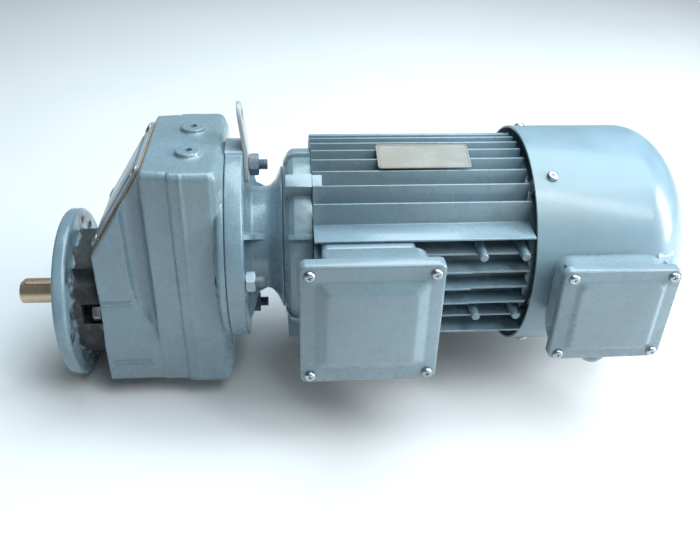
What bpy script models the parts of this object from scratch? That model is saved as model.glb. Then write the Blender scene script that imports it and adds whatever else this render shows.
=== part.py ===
"""Inline helical gear reducer with a force-cooled motor.

Frame: the origin is the centre of the output flange's seat, on the output
shaft's axis.  +X runs from the output shaft to the fan, +Z is up.  The motor's
axis is parallel to the output shaft's and lies DROP above it.
All lengths below are millimetres and become metres in add_mesh().
"""
from math import acos, atan2, cos, hypot, pi, radians, sin, sqrt, tan

import bmesh
import bpy
from mathutils import Vector

for old in list(bpy.data.objects):
    bpy.data.objects.remove(old, do_unlink=True)

# ---------------------------------------------------------------- dimensions
DROP = 57.0                 # motor axis above the output axis
GAP = 0.3                   # clearance between neighbouring pieces

FLANGE_R = 80.0             # output flange, 160 mm
FLANGE_T = 12.0
SPIGOT_R = 55.0
SPIGOT_H = 3.5
FLANGE_PCD_R = 65.0
FLANGE_HOLE_R = 4.75
COLLAR_R = 60.0
SHAFT_R = 11.0              # output shaft end, 22 x 50
SHAFT_L = 50.0
KEY_W = 6.0
KEY_L = 40.0

NOSE_X = 37.0               # front face of the case's nose
PLUG_AT = (-51.5, 12.0)     # oil plug on that face, beside the collar
MAIN_X = 86.0               # where the wide main body begins
CASE_X = 153.5              # rear face of the case
TOP_Z = 155.0
BOTTOM_Z = -61.5
WALL = 7.5
CASE_FLANGE_R = 91.5

ADAPTER_X0 = CASE_X + GAP
ADAPTER_X1 = 169.0
ADAPTER_R = 92.4
STUD_R = 75.2
SHIELD_X = 203.0            # front face of the drive-end shield
FRAME_X0 = 228.0
FRAME_X1 = 414.0
FRAME_R = 79.0              # root of the fins
FIN_R = 95.0                # tip circle of the fins
COWL_X0 = 415.3
COWL_SCREW_A = [radians(a) for a in (122.0, 58.0, 238.0, 302.0)]
COWL_X1 = 567.0
COWL_R = 102.0

# gears: module, teeth, width
M_IN, Z_PINION, Z_WHEEL = 1.5, 12, 33
M_OUT, Z_LAY, Z_OUT = 2.0, 15, 45
PRESSURE = radians(25.0)
HELIX = radians(8.0)
BACKLASH = 0.30             # along the pitch circle, per pair

A_OUT = M_OUT * (Z_LAY + Z_OUT) / 2.0
A_IN = M_IN * (Z_PINION + Z_WHEEL) / 2.0
LAY_Z = (A_OUT ** 2 - A_IN ** 2 + DROP ** 2) / (2.0 * DROP)
LAY_Y = sqrt(A_OUT ** 2 - LAY_Z ** 2)
OUT_AXIS = (0.0, 0.0)
LAY_AXIS = (LAY_Y, LAY_Z)
MOTOR_AXIS = (0.0, DROP)


# ---------------------------------------------------------------- materials
def material(name, colour, rough, metal):
    mat = bpy.data.materials.new(name)
    mat.use_nodes = True
    bsdf = mat.node_tree.nodes["Principled BSDF"]
    bsdf.inputs["Base Color"].default_value = (*colour, 1.0)
    bsdf.inputs["Roughness"].default_value = rough
    bsdf.inputs["Metallic"].default_value = metal
    return mat


PAINT = ("paint", (0.17, 0.25, 0.30), 0.35, 0.0)
ZINC = ("zinc", (0.55, 0.56, 0.57), 0.35, 1.0)
STEEL = ("steel", (0.42, 0.36, 0.27), 0.35, 1.0)
DARK = ("dark_steel", (0.20, 0.20, 0.21), 0.45, 1.0)
PLATE = ("plate", (0.60, 0.57, 0.48), 0.35, 0.8)
RUBBER = ("rubber", (0.03, 0.03, 0.03), 0.6, 0.0)
PLASTIC = ("plastic", (0.05, 0.05, 0.06), 0.5, 0.0)
GASKET = ("gasket", (0.30, 0.18, 0.08), 0.8, 0.0)
COPPER = ("copper", (0.45, 0.20, 0.10), 0.4, 0.7)


# ---------------------------------------------------------------- mesh tools
def add_mesh(name, verts, faces, spec, origin=None, smooth=True):
    """One object from millimetre points, its faces turned outwards."""
    mesh = bpy.data.meshes.new(name)
    shift = Vector(origin) if origin else Vector((0.0, 0.0, 0.0))
    mesh.from_pydata([(Vector(v) - shift) * 0.001 for v in verts], [], faces)
    bm = bmesh.new()
    bm.from_mesh(mesh)
    bmesh.ops.remove_doubles(bm, verts=bm.verts, dist=1e-7)
    bmesh.ops.recalc_face_normals(bm, faces=bm.faces)
    bmesh.ops.connect_verts_nonplanar(bm, angle_limit=0.0005, faces=bm.faces)
    bm.to_mesh(mesh)
    bm.free()
    obj = bpy.data.objects.new(name, mesh)
    bpy.context.scene.collection.objects.link(obj)
    obj.location = shift * 0.001
    if spec:
        mesh.materials.append(material(name + "_" + spec[0], *spec[1:]))
    if smooth:
        mesh.shade_smooth()
        mesh.set_sharp_from_angle(angle=radians(35))
    return obj


def merge(*shapes):
    """Several separate shapes in one vertex and face list."""
    verts, faces = [], []
    for vs, fs in shapes:
        base = len(verts)
        verts += vs
        faces += [tuple(base + i for i in f) for f in fs]
    return verts, faces


def turned(profile, seg, axis=OUT_AXIS, phase=0.0, ring=False):
    """Turn (x, r) points about an axis along X.  ring closes the profile."""
    cy, cz = axis
    verts, rows = [], []
    for x, r in profile:
        if r <= 0.0:
            rows.append([len(verts)] * seg)
            verts.append((x, cy, cz))
        else:
            rows.append([len(verts) + k for k in range(seg)])
            verts += [(x, cy + r * cos(phase + 2 * pi * k / seg),
                       cz + r * sin(phase + 2 * pi * k / seg)) for k in range(seg)]
    faces = []
    last = len(rows) if ring else len(rows) - 1
    for i in range(last):
        a, b = rows[i], rows[(i + 1) % len(rows)]
        for k in range(seg):
            n = (k + 1) % seg
            quad = []
            for v in (a[k], a[n], b[n], b[k]):
                if v not in quad:
                    quad.append(v)
            if len(quad) > 2:
                faces.append(tuple(quad))
    return verts, faces


def cyl(x0, x1, r, seg, axis=OUT_AXIS, phase=0.0):
    return turned([(x0, 0), (x0, r), (x1, r), (x1, 0)], seg, axis, phase)


def tube(x0, x1, r0, r1, seg, axis=OUT_AXIS):
    return turned([(x0, r0), (x0, r1), (x1, r1), (x1, r0)], seg, axis, ring=True)


def loft(sections):
    """Skin equal-length rings of points and close both ends."""
    n = len(sections[0])
    verts = [p for s in sections for p in s]
    faces = [tuple(range(n)), tuple(range((len(sections) - 1) * n, len(sections) * n))]
    for i in range(len(sections) - 1):
        for k in range(n):
            m = (k + 1) % n
            faces.append((i * n + k, i * n + m, (i + 1) * n + m, (i + 1) * n + k))
    return verts, faces


def prism(outline, a0, a1, axis):
    """Extrude a 2D outline along X, Y or Z.  The outline's two numbers are the
    other two coordinates in X, Y, Z order."""
    def put(p, a):
        return {"X": (a, p[0], p[1]), "Y": (p[0], a, p[1]), "Z": (p[0], p[1], a)}[axis]
    return loft([[put(p, a0) for p in outline], [put(p, a1) for p in outline]])


def box(x0, x1, y0, y1, z0, z1):
    return prism([(x0, y0), (x1, y0), (x1, y1), (x0, y1)], z0, z1, "Z")


def rounded(points, radii, steps=3):
    """Round each corner of a convex outline."""
    out = []
    n = len(points)
    for i, p in enumerate(points):
        r = radii[i] if isinstance(radii, (list, tuple)) else radii
        a, b = Vector(points[i - 1]), Vector(points[(i + 1) % n])
        c = Vector(p)
        if r <= 0:
            out.append(tuple(c))
            continue
        u, v = (a - c).normalized(), (b - c).normalized()
        half = acos(max(-1.0, min(1.0, u.dot(v)))) / 2.0
        t = r / tan(half)
        centre = c + (u + v).normalized() * (r / sin(half))
        s, e = c + u * t - centre, c + v * t - centre
        a0 = atan2(s.y, s.x)
        d = (atan2(e.y, e.x) - a0 + pi) % (2 * pi) - pi
        out += [(centre.x + r * cos(a0 + d * k / steps),
                 centre.y + r * sin(a0 + d * k / steps)) for k in range(steps + 1)]
    return out


def circle(r, seg, centre=(0.0, 0.0), phase=0.0):
    return [(centre[0] + r * cos(phase + 2 * pi * k / seg),
             centre[1] + r * sin(phase + 2 * pi * k / seg)) for k in range(seg)]


def boolean(obj, name, shape, op="DIFFERENCE"):
    """Keep a wire cutter beside the object and run the Boolean on it."""
    cutter = add_mesh(obj.name + "_" + name, *shape, None, smooth=False)
    cutter.hide_render = True
    cutter.display_type = "WIRE"
    mod = obj.modifiers.new(name, "BOOLEAN")
    mod.operation = op
    mod.object = cutter
    mod.solver = "EXACT"
    return mod


def oriented(shape, origin, ex, ey, ez):
    """Place a shape made round the origin with its own three axes."""
    verts, faces = shape
    o, ex, ey, ez = Vector(origin), Vector(ex), Vector(ey), Vector(ez)
    return [tuple(o + ex * v[0] + ey * v[1] + ez * v[2]) for v in verts], faces


# ---------------------------------------------------------------- gears
def gear_outline(module, teeth, tooth_angle):
    """Outline of a spur section with true involute flanks, round (0, 0).
    tooth_angle is the direction of one tooth's middle."""
    r = module * teeth / 2.0
    rb = r * cos(PRESSURE)
    ra = r + 0.9 * module
    rf = r - 1.15 * module
    inv = tan(PRESSURE) - PRESSURE
    half = pi / (2 * teeth) - BACKLASH / 4.0 / r
    start = max(rb, rf)
    pts = []
    for k in range(teeth):
        mid = tooth_angle + 2 * pi * k / teeth
        flank = []
        for i in range(3):
            q = start + (ra - start) * i / 2.0
            t = acos(min(1.0, rb / q))
            flank.append((q, half + inv - (tan(t) - t)))
        side = ([(rf, flank[0][1] + 0.004)] if rf < rb - 0.05 else []) + flank
        for q, a in side:
            pts.append((q, mid - a))
        for q, a in reversed(side):
            pts.append((q, mid + a))
    return [(q * cos(a), q * sin(a)) for q, a in pts]


def gear(module, teeth, x0, x1, axis, tooth_angle, twist, slices=1):
    """Helical gear: the same section turned steadily from x0 to x1.
    The middle of the width has its tooth at tooth_angle."""
    sections = []
    for s in range(slices + 1):
        f = s / slices
        turn = tooth_angle + twist * (f - 0.5)
        sections.append([(x0 + (x1 - x0) * f, axis[0] + p[0], axis[1] + p[1])
                         for p in gear_outline(module, teeth, turn)])
    return sections


TH_OUT = atan2(LAY_Z, LAY_Y)                          # output axis to lay shaft
TH_IN = atan2(DROP - LAY_Z, -LAY_Y)                   # lay shaft to motor axis
OUT_X = (62.0, 86.0)
LAY_X = (60.0, 88.0)
WHEEL_X = (119.0, 135.0)
PINION_X = (117.0, 137.0)


def twist(width, module, teeth, hand):
    return hand * tan(HELIX) * width / (module * teeth / 2.0)


# ---------------------------------------------------------------- output side
profile = [(-SPIGOT_H, 36.0), (-SPIGOT_H, SPIGOT_R), (0.0, SPIGOT_R),
           (0.0, FLANGE_R - 2.0), (2.0, FLANGE_R), (FLANGE_T - 2.0, FLANGE_R), (FLANGE_T, FLANGE_R - 2.0),
           (FLANGE_T, COLLAR_R),
           (NOSE_X - GAP, COLLAR_R), (NOSE_X - GAP, 20.0), (8.0, 20.0), (8.0, 36.0)]
flange = add_mesh("output_flange", *turned(profile, 40, ring=True), PAINT)
holes, pockets = [], []
for k in range(4):
    a = pi / 4 + k * pi / 2
    c = (FLANGE_PCD_R * cos(a), FLANGE_PCD_R * sin(a))
    holes.append(cyl(-1.0, FLANGE_T + 1.0, FLANGE_HOLE_R, 12, c))
    pockets.append(cyl(FLANGE_T, NOSE_X + 5, 10.5, 12, c))
boolean(flange, "bolt_holes", merge(*holes))
pockets.append(cyl(FLANGE_T + 8.0, NOSE_X + 5, 11.5, 16, PLUG_AT))
boolean(flange, "nut_pockets", merge(*pockets))

add_mesh("output_oil_seal", *turned(
    [(9.0, SHAFT_R + 4.3), (9.0, 19.7), (16.0, 19.7), (16.0, SHAFT_R + 4.3)], 24, ring=True), RUBBER)

KEY_FLOOR = SHAFT_R - 3.5
shaft = add_mesh("output_shaft", *turned(
    [(-SHAFT_L, 0), (-SHAFT_L, SHAFT_R - 1.2), (-SHAFT_L + 1.2, SHAFT_R), (3.0, SHAFT_R), (4.5, 15.0),
     (37.5, 15.0), (37.5, 14.6), (57.0, 14.6), (57.0, 18.5), (59.5, 18.5), (59.5, 16.0), (92.0, 16.0),
     (92.0, 12.0), (112.0, 12.0), (112.0, 0)], 24), STEEL)
boolean(shaft, "keyway", merge(prism(rounded(
    [(-46.0 - GAP, -KEY_W / 2 - 0.15), (-46.0 + KEY_L + GAP, -KEY_W / 2 - 0.15),
     (-46.0 + KEY_L + GAP, KEY_W / 2 + 0.15), (-46.0 - GAP, KEY_W / 2 + 0.15)], 3.1, 3),
    KEY_FLOOR, SHAFT_R + 5, "Z")))
add_mesh("output_key", *prism(rounded(
    [(-46.0, -KEY_W / 2), (-46.0 + KEY_L, -KEY_W / 2), (-46.0 + KEY_L, KEY_W / 2), (-46.0, KEY_W / 2)],
    2.9, 3), KEY_FLOOR + GAP, KEY_FLOOR + GAP + 6.0, "Z"), STEEL)


def bored_gear(name, module, teeth, x, axis, angle, tw, bore, spec, slices=1):
    rings = gear(module, teeth, x[0], x[1], axis, angle, tw, slices)
    obj = add_mesh(name, *loft(rings), spec, origin=(0.0, *axis))
    boolean(obj, "bore", cyl(x[0] - 2, x[1] + 2, bore, 24, axis))
    return obj


bored_gear("output_gear", M_OUT, Z_OUT, OUT_X, OUT_AXIS, TH_OUT,
           twist(OUT_X[1] - OUT_X[0], M_OUT, Z_OUT, 1), 16.3, DARK)


def bearing(name, x0, x1, r0, r1, axis, seg=24):
    """A ball bearing as one ring: races, balls and shields together."""
    add_mesh(name, *tube(x0, x1, r0, r1, seg, axis), ZINC)


bearing("output_bearing_front", 40.0, 56.0, 15.0, 30.7, OUT_AXIS)
bearing("output_bearing_rear", 95.0, 109.0, 12.3, 25.7, OUT_AXIS)

# ---------------------------------------------------------------- lay shaft
lay_rings = gear(M_OUT, Z_LAY, LAY_X[0], LAY_X[1], LAY_AXIS, TH_OUT + pi + pi / Z_LAY,
                 twist(LAY_X[1] - LAY_X[0], M_OUT, Z_LAY, -1))
lay = add_mesh("layshaft", *loft(lay_rings), DARK, origin=(0.0, *LAY_AXIS))
boolean(lay, "journals", turned(
    [(45.0, 0), (45.0, 8.0), (58.5, 8.0), (58.5, 11.0), (90.0, 11.0), (90.0, 10.0), (138.0, 10.0), (138.0, 0)],
    24, LAY_AXIS), "UNION")
bored_gear("layshaft_gear", M_IN, Z_WHEEL, WHEEL_X, LAY_AXIS, TH_IN,
           twist(WHEEL_X[1] - WHEEL_X[0], M_IN, Z_WHEEL, 1), 10.4, DARK)
bearing("layshaft_bearing_front", 45.5, 57.5, 8.3, 17.2, LAY_AXIS, 24)
bearing("layshaft_bearing_rear", 96.0, 108.0, 10.3, 20.7, LAY_AXIS, 24)


# ---------------------------------------------------------------- gear case
def case_ring(x, top, w_top, w_mid, w_bot, bottom, r_top, r_bot, z_mid=62.0, steps=2):
    pts = [(-w_bot, bottom), (w_bot, bottom), (w_mid, z_mid), (w_top, top), (-w_top, top), (-w_mid, z_mid)]
    out = rounded(pts, [r_bot, r_bot, 0, r_top, r_top, 0], steps)
    return [(x, y, z) for y, z in out]


def nose_ring(x, inset, steps=2):
    f = (x - NOSE_X) / (89.0 - NOSE_X)
    top = 74.0 + (TOP_Z - 74.0) * f
    k = inset
    slope = k * 1.16
    return case_ring(x, top - slope, 57.0 - k, 58.5 - k, 57.0 - k, BOTTOM_Z + k, 5.0, max(4.0, 16.0 - k), 30.0, steps)


def nose_outer(x):
    """The nose is narrow round its upper part and flush with the body low down."""
    f = (x - NOSE_X) / (89.0 - NOSE_X)
    top = 74.0 + (TOP_Z - 74.0) * f
    pts = [(-66.0, BOTTOM_Z), (66.0, BOTTOM_Z), (65.0, -16.0), (60.5, 2.0), (58.5, 30.0), (56.5, top),
           (-56.5, top), (-58.5, 30.0), (-60.5, 2.0), (-65.0, -16.0)]
    return [(x, y, z) for y, z in rounded(pts, [6.0, 6.0, 0, 0, 0, 5.0, 5.0, 0, 0, 0], 2)]


case = add_mesh("gear_housing", *loft([
    case_ring(MAIN_X, TOP_Z - 4.9, 62.0, 65.2, 66.3, BOTTOM_Z, 9.0, 6.0),
    case_ring(89.2, TOP_Z, 62.5, 66.0, 66.5, BOTTOM_Z, 9.0, 6.0),
    case_ring(109.0, TOP_Z, 65.0, 68.8, 67.0, BOTTOM_Z, 9.0, 6.0),
    case_ring(109.7, TOP_Z, 66.0, 70.0, 68.0, BOTTOM_Z - 1.2, 9.0, 6.0),
    case_ring(120.0, TOP_Z, 67.5, 71.5, 69.5, BOTTOM_Z - 1.2, 9.0, 6.0),
    case_ring(145.0, TOP_Z, 67.5, 71.5, 69.5, BOTTOM_Z - 1.2, 9.0, 6.0),
    case_ring(150.0, TOP_Z - 4.0, 62.0, 66.0, 64.0, BOTTOM_Z + 6.0, 7.0, 6.0),
    case_ring(CASE_X, TOP_Z - 8.0, 58.0, 64.0, 60.0, BOTTOM_Z + 24.0, 7.0, 6.0)]), PAINT)
boolean(case, "nose", loft([nose_outer(NOSE_X), nose_outer(88.5)]), "UNION")
boolean(case, "rear_flange", turned(
    [(142.0, 0), (142.0, 68.0), (147.0, CASE_FLANGE_R), (CASE_X, CASE_FLANGE_R), (CASE_X, 0)],
    40, MOTOR_AXIS), "UNION")
boolean(case, "top_bosses", merge(*[
    prism(circle(11.0, 20, (124.5, y)), TOP_Z - 4.0, TOP_Z + 3.5, "Z") for y in (-25.5, 25.5)]), "UNION")
boolean(case, "cavity_front", loft([nose_ring(NOSE_X + WALL + 13.5, WALL, 1), nose_ring(88.6, WALL, 1)]))
boolean(case, "cavity_main", loft([
    case_ring(88.0, TOP_Z - WALL, 52.0, 55.0, 52.0, BOTTOM_Z + WALL, 4.0, 6.0, steps=1),
    case_ring(112.0, TOP_Z - WALL, 55.0, 61.0, 56.0, BOTTOM_Z + WALL, 4.0, 6.0, steps=1),
    case_ring(141.0, TOP_Z - WALL, 57.0, 63.5, 58.0, BOTTOM_Z + WALL, 4.0, 6.0, steps=1),
    case_ring(CASE_X + 2.0, TOP_Z - 24.0, 45.0, 55.0, 45.0, BOTTOM_Z + 40.0, 4.0, 6.0, steps=1)]))
boolean(case, "bores", merge(cyl(NOSE_X - 2, 62.0, 31.0, 32, OUT_AXIS)))
boolean(case, "layshaft_seat", merge(cyl(44.5, 62.0, 17.5, 24, LAY_AXIS)))
boolean(case, "boss_threads", merge(*[
    prism(circle(3.4, 12, (124.5, y)), TOP_Z - 4.0, TOP_Z + 6.0, "Z") for y in (-25.5, 25.5)]))

# sloped inspection window, its gasket, cover and screws
SLOPE = (Vector((89.0, 0.0, TOP_Z)) - Vector((NOSE_X, 0.0, 74.0)))
SLOPE_L = SLOPE.length
EX = SLOPE.normalized()
EZ = Vector((-EX.z, 0.0, EX.x))
EY = EZ.cross(EX)
SO = Vector((NOSE_X, 0.0, 74.0))


def on_slope(outline, h0, h1):
    return oriented(prism(outline, h0, h1, "Z"), SO, EX, EY, EZ)


def plate_outline(m, r, steps=3):
    """Rounded rectangle m inside the slope's own outline."""
    return rounded([(m, -53.0 + m), (SLOPE_L - m, -53.0 + m), (SLOPE_L - m, 53.0 - m), (m, 53.0 - m)], r, steps)


boolean(case, "side_hollows", merge(*[loft([
    [(x, y, z) for x, y in circle(r, 16, (cx, s * 63.5))] for z, r, cx in
    ((-4.0, 3.0, 81.5), (8.0, 6.5, 79.5), (26.0, 9.0, 77.5), (60.0, 9.5, 77.0), (118.0, 9.5, 77.0))]) for s in (-1, 1)]))
boolean(case, "inspection_window", on_slope(plate_outline(15.0, 8.0), -30.0, 5.0))
screw_at = [(9.5, -43.5), (SLOPE_L - 9.5, -43.5), (9.5, 43.5), (SLOPE_L - 9.5, 43.5)]
boolean(case, "cover_threads", merge(*[on_slope(circle(3.4, 12, c), -10.5, 2.0) for c in screw_at]))
boolean(case, "plug_thread", cyl(NOSE_X - 3, NOSE_X + 12.0, 4.6, 12, PLUG_AT))
boolean(case, "stud_threads", merge(*[
    cyl(CASE_X - 11.0, CASE_X + 3, 5.4, 12, (STUD_R * cos(k * pi / 2), DROP + STUD_R * sin(k * pi / 2)))
    for k in range(4)]))

gasket = add_mesh("inspection_gasket", *on_slope(plate_outline(2.0, 7.0), GAP, GAP + 1.0), GASKET)
boolean(gasket, "window", on_slope(plate_outline(15.0, 8.0), -2.0, 5.0))
boolean(gasket, "screw_holes", merge(*[on_slope(circle(3.4, 12, c), -2.0, 5.0) for c in screw_at]))
cover = add_mesh("inspection_cover", *on_slope(plate_outline(2.5, 7.0), 1.6, 4.2), PAINT)
boolean(cover, "screw_holes", merge(*[on_slope(circle(3.4, 12, c), 0.0, 8.0) for c in screw_at]))
boolean(cover, "head_seats", merge(*[on_slope(circle(5.8, 12, c), 2.6, 8.0) for c in screw_at]))


def turned_up(profile, seg, phase=0.0):
    """Turn (h, r) points about a local Z axis."""
    verts, faces = turned([(h, r) for h, r in profile], seg, (0.0, 0.0), phase)
    return [(v[1], v[2], v[0]) for v in verts], faces


def hex_bolt(r_shank, length, af, head):
    """Hex head from 0 to head, shank down to -length, round local Z."""
    rh = af / sqrt(3.0)
    verts, faces = [], []
    rings = [(-length, r_shank, 12), (0.0, r_shank, 12), (0.0, rh, 12), (head, rh, 12)]
    rows = []
    for h, r, n in rings:
        row = []
        for k in range(n):
            a = 2 * pi * k / n
            q = r
            if r > r_shank and n == 12:
                q = r if k % 2 == 0 else r * cos(pi / 6)
            row.append(len(verts))
            verts.append((q * cos(a), q * sin(a), h))
        rows.append(row)
    faces.append(tuple(rows[0]))
    faces.append(tuple(rows[-1]))
    for a, b in zip(rows, rows[1:]):
        for k in range(12):
            m = (k + 1) % 12
            faces.append((a[k], a[m], b[m], b[k]))
    return verts, faces


for n, (u, v) in enumerate(screw_at, 1):
    add_mesh("inspection_screw_%d" % n, *oriented(turned_up(
        [(-12.0, 0), (-12.0, 3.0), (0.0, 3.0), (0.0, 5.4), (1.4, 5.4), (1.4, 0)], 12),
        SO + EX * u + EY * v + EZ * 2.9, EX, EY, EZ), ZINC)

add_mesh("oil_level_plug", *oriented(hex_bolt(4.3, 10.0, 16.0, 7.0),
         (NOSE_X - GAP, *PLUG_AT), (0, 1, 0), (0, 0, -1), (-1, 0, 0)), ZINC)

# plate that carries the inner ends of the output shaft and the lay shaft
carrier = add_mesh("bearing_carrier", *loft([
    case_ring(95.0, TOP_Z - 40.0, 51.5, 56.5, 52.0, BOTTOM_Z + WALL + 0.5, 4.0, 6.5, 62.0, 1),
    case_ring(109.0, TOP_Z - 40.0, 51.5, 56.5, 52.0, BOTTOM_Z + WALL + 0.5, 4.0, 6.5, 62.0, 1)]), DARK)
boolean(carrier, "output_seat", cyl(92.0, 112.0, 26.0, 28, OUT_AXIS))
boolean(carrier, "layshaft_seat", cyl(92.0, 112.0, 21.0, 24, LAY_AXIS))

# ---------------------------------------------------------------- adapter
NECK_R = 48.0
BELL_R = 76.0
adapter = add_mesh("motor_adapter", *turned(
    [(ADAPTER_X0, 30.0), (ADAPTER_X0, ADAPTER_R), (ADAPTER_X1, ADAPTER_R), (ADAPTER_X1, NECK_R + 4.0),
     (ADAPTER_X1 + 4.0, NECK_R), (190.0, NECK_R), (196.0, NECK_R + 7.0), (202.7, NECK_R + 22.0),
     (202.7, 34.0), (160.0, 34.0), (160.0, 30.0)], 36, MOTOR_AXIS, ring=True), PAINT)
boolean(adapter, "top_boss", prism([(-17.0, DROP + 70.0), (17.0, DROP + 70.0), (14.0, DROP + 94.0), (-14.0, DROP + 94.0)],
                                   ADAPTER_X0, ADAPTER_X1 + 0.2, "X"), "UNION")
boolean(adapter, "stud_holes", merge(*[
    cyl(ADAPTER_X0 - 2, ADAPTER_X1 + 3, 5.4, 12, (STUD_R * cos(k * pi / 2), DROP + STUD_R * sin(k * pi / 2)))
    for k in range(4)]))


def hex_nut(x0, x1, bore, af, axis, phase=0.0):
    rh = af / sqrt(3.0)
    rows = []
    for x, r, hexed in ((x0, bore, 0), (x0, rh, 1), (x1, rh, 1), (x1, bore, 0)):
        rows.append([(x, axis[0] + (r if not hexed or k % 2 == 0 else r * cos(pi / 6)) * cos(phase + pi * k / 6),
                      axis[1] + (r if not hexed or k % 2 == 0 else r * cos(pi / 6)) * sin(phase + pi * k / 6))
                     for k in range(12)])
    verts = [p for r in rows for p in r]
    faces = []
    for i in range(len(rows)):
        j = (i + 1) % len(rows)
        for k in range(12):
            m = (k + 1) % 12
            faces.append((i * 12 + k, i * 12 + m, j * 12 + m, j * 12 + k))
    return verts, faces


LUG_T = 4.0
for k, side in enumerate(("far", "top", "near", "bottom")):
    c = (STUD_R * cos(k * pi / 2), DROP + STUD_R * sin(k * pi / 2))
    seat = ADAPTER_X1 + GAP + (LUG_T + GAP if side == "top" else 0.0)
    add_mesh("adapter_stud_" + side, *turned(
        [(CASE_X - 10.5, 0), (CASE_X - 10.5, 4.9), (seat + 16.4, 4.9), (seat + 16.4, 0)],
        12, c), ZINC)
    add_mesh("adapter_nut_" + side, *hex_nut(seat + GAP, seat + 8.6, 5.25, 17.0, c, 0.0 if k % 2 else pi / 6), ZINC)

lug_profile = rounded([(-13.0, DROP + 62.0), (13.0, DROP + 62.0), (13.0, DROP + 133.0), (-13.0, DROP + 133.0)],
                      [5.0, 5.0, 12.5, 12.5], 4)
LUG_BEND = DROP + 92.0


def lug_point(x, y, z):
    lean = max(0.0, z - LUG_BEND) * -0.11
    return (x + lean, y, z)


lx0, lx1 = ADAPTER_X1 + 0.2 + GAP, ADAPTER_X1 + GAP + LUG_T
outline = []
for y, z in lug_profile:
    outline.append((y, z))
# the outline's two long edges get a point at the bend so both skins fold there
fold = []
for i, p in enumerate(outline):
    q = outline[(i + 1) % len(outline)]
    fold.append(p)
    if (p[1] - LUG_BEND) * (q[1] - LUG_BEND) < 0:
        fold.append((p[0], LUG_BEND))
front = [lug_point(lx0, y, z) for y, z in fold]
back = [lug_point(lx1, y, z) for y, z in fold]
n = len(fold)
bend = [i for i, p in enumerate(fold) if abs(p[1] - LUG_BEND) < 1e-6]
i0, i1 = bend
low = [i % n for i in range(i1, i0 + n + 1)] if fold[(i1 + 1) % n][1] < LUG_BEND else [i % n for i in range(i0, i1 + 1)]
high = [i % n for i in range(i0, i1 + 1)] if fold[(i1 + 1) % n][1] < LUG_BEND else [i % n for i in range(i1, i0 + n + 1)]
faces = [tuple(low), tuple(high), tuple(i + n for i in low), tuple(i + n for i in high)]
faces += [(i, (i + 1) % n, (i + 1) % n + n, i + n) for i in range(n)]
lug = add_mesh("lifting_plate", front + back, faces, PAINT)
boolean(lug, "stud_hole", cyl(lx0 - 3, lx1 + 3, 5.3, 12, (0.0, DROP + STUD_R)))
boolean(lug, "eye", cyl(lx0 - 15, lx1 + 5, 6.5, 16, (0.0, DROP + 120.0)))

# ---------------------------------------------------------------- motor
EARS = [radians(a) for a in (0.0, 120.0, 240.0)]
shield = add_mesh("drive_end_shield", *turned(
    [(SHIELD_X, 26.0), (SHIELD_X, 71.0), (208.0, 80.0), (212.0, 82.5), (227.7, 82.5),
     (227.7, 76.0), (214.0, 60.0), (214.0, 31.5), (224.0, 31.5), (224.0, 26.0)],
    36, MOTOR_AXIS, ring=True), PAINT)
boolean(shield, "ears", merge(*[
    oriented(box(204.5, 227.5, -6.5, 6.5, 72.0, 95.5), (0, 0, DROP),
             (1, 0, 0), (0, sin(a), -cos(a)), (0, cos(a), sin(a))) for a in EARS]), "UNION")


def frame_outline():
    """Cross-section of the ribbed frame: upright fins above and below, level
    fins at the sides, a pad for the terminal box on the near side."""
    pts = []

    def add(y, z):
        pts.append((y, z))

    # walk anticlockwise from the far side's middle; each fin is four points
    half = 1.5
    def root(t):
        return sqrt(max(0.0, FRAME_R ** 2 - t * t))
    level = [-48.0, -32.0, -16.0, 0.0, 16.0, 32.0, 48.0]
    upright = [-52.0, -39.0, -26.0, -13.0, 0.0, 13.0, 26.0, 39.0, 52.0]
    corner = ((67.1, 50.1), (66.0, 69.3), (64.0, 69.3), (62.9, 50.1))   # fin standing on the ledge

    # far side, going up
    for z in level:
        tip = sqrt(FIN_R ** 2 - z * z) if abs(z) < 40 else 92.0
        if z == -48.0:
            for y, h in reversed(corner):
                add(y, -h)
        if z > -48.0:
            add(root(z - half - 0.6), z - half - 0.6)
        add(tip, z - half + 0.5)
        add(tip, z + half - 0.5)
        if z < 48.0:
            add(root(z + half + 0.6), z + half + 0.6)
        if z == 48.0:
            for y, h in corner:
                add(y, h)
    for y in reversed(upright):
        tip = sqrt(FIN_R ** 2 - y * y)
        add(y + half + 0.6, root(y + half + 0.6))
        add(y + half - 0.5, tip)
        add(y - half + 0.5, tip)
        add(y - half - 0.6, root(y - half - 0.6))
    for z in reversed(level):
        tip = sqrt(FIN_R ** 2 - z * z) if abs(z) < 40 else 92.0
        if z == 48.0:
            for y, h in reversed(corner):
                add(-y, h)
        if z < 48.0:
            add(-root(z + half + 0.6), z + half + 0.6)
        add(-tip, z + half - 0.5)
        add(-tip, z - half + 0.5)
        if z > -48.0:
            add(-root(z - half - 0.6), z - half - 0.6)
        if z == -48.0:
            for y, h in corner:
                add(-y, -h)
    for y in upright:
        tip = sqrt(FIN_R ** 2 - y * y)
        add(y - half - 0.6, -root(y - half - 0.6))
        add(y - half + 0.5, -tip)
        add(y + half - 0.5, -tip)
        add(y + half + 0.6, -root(y + half + 0.6))
    return [(y, DROP + z) for y, z in pts]


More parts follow.
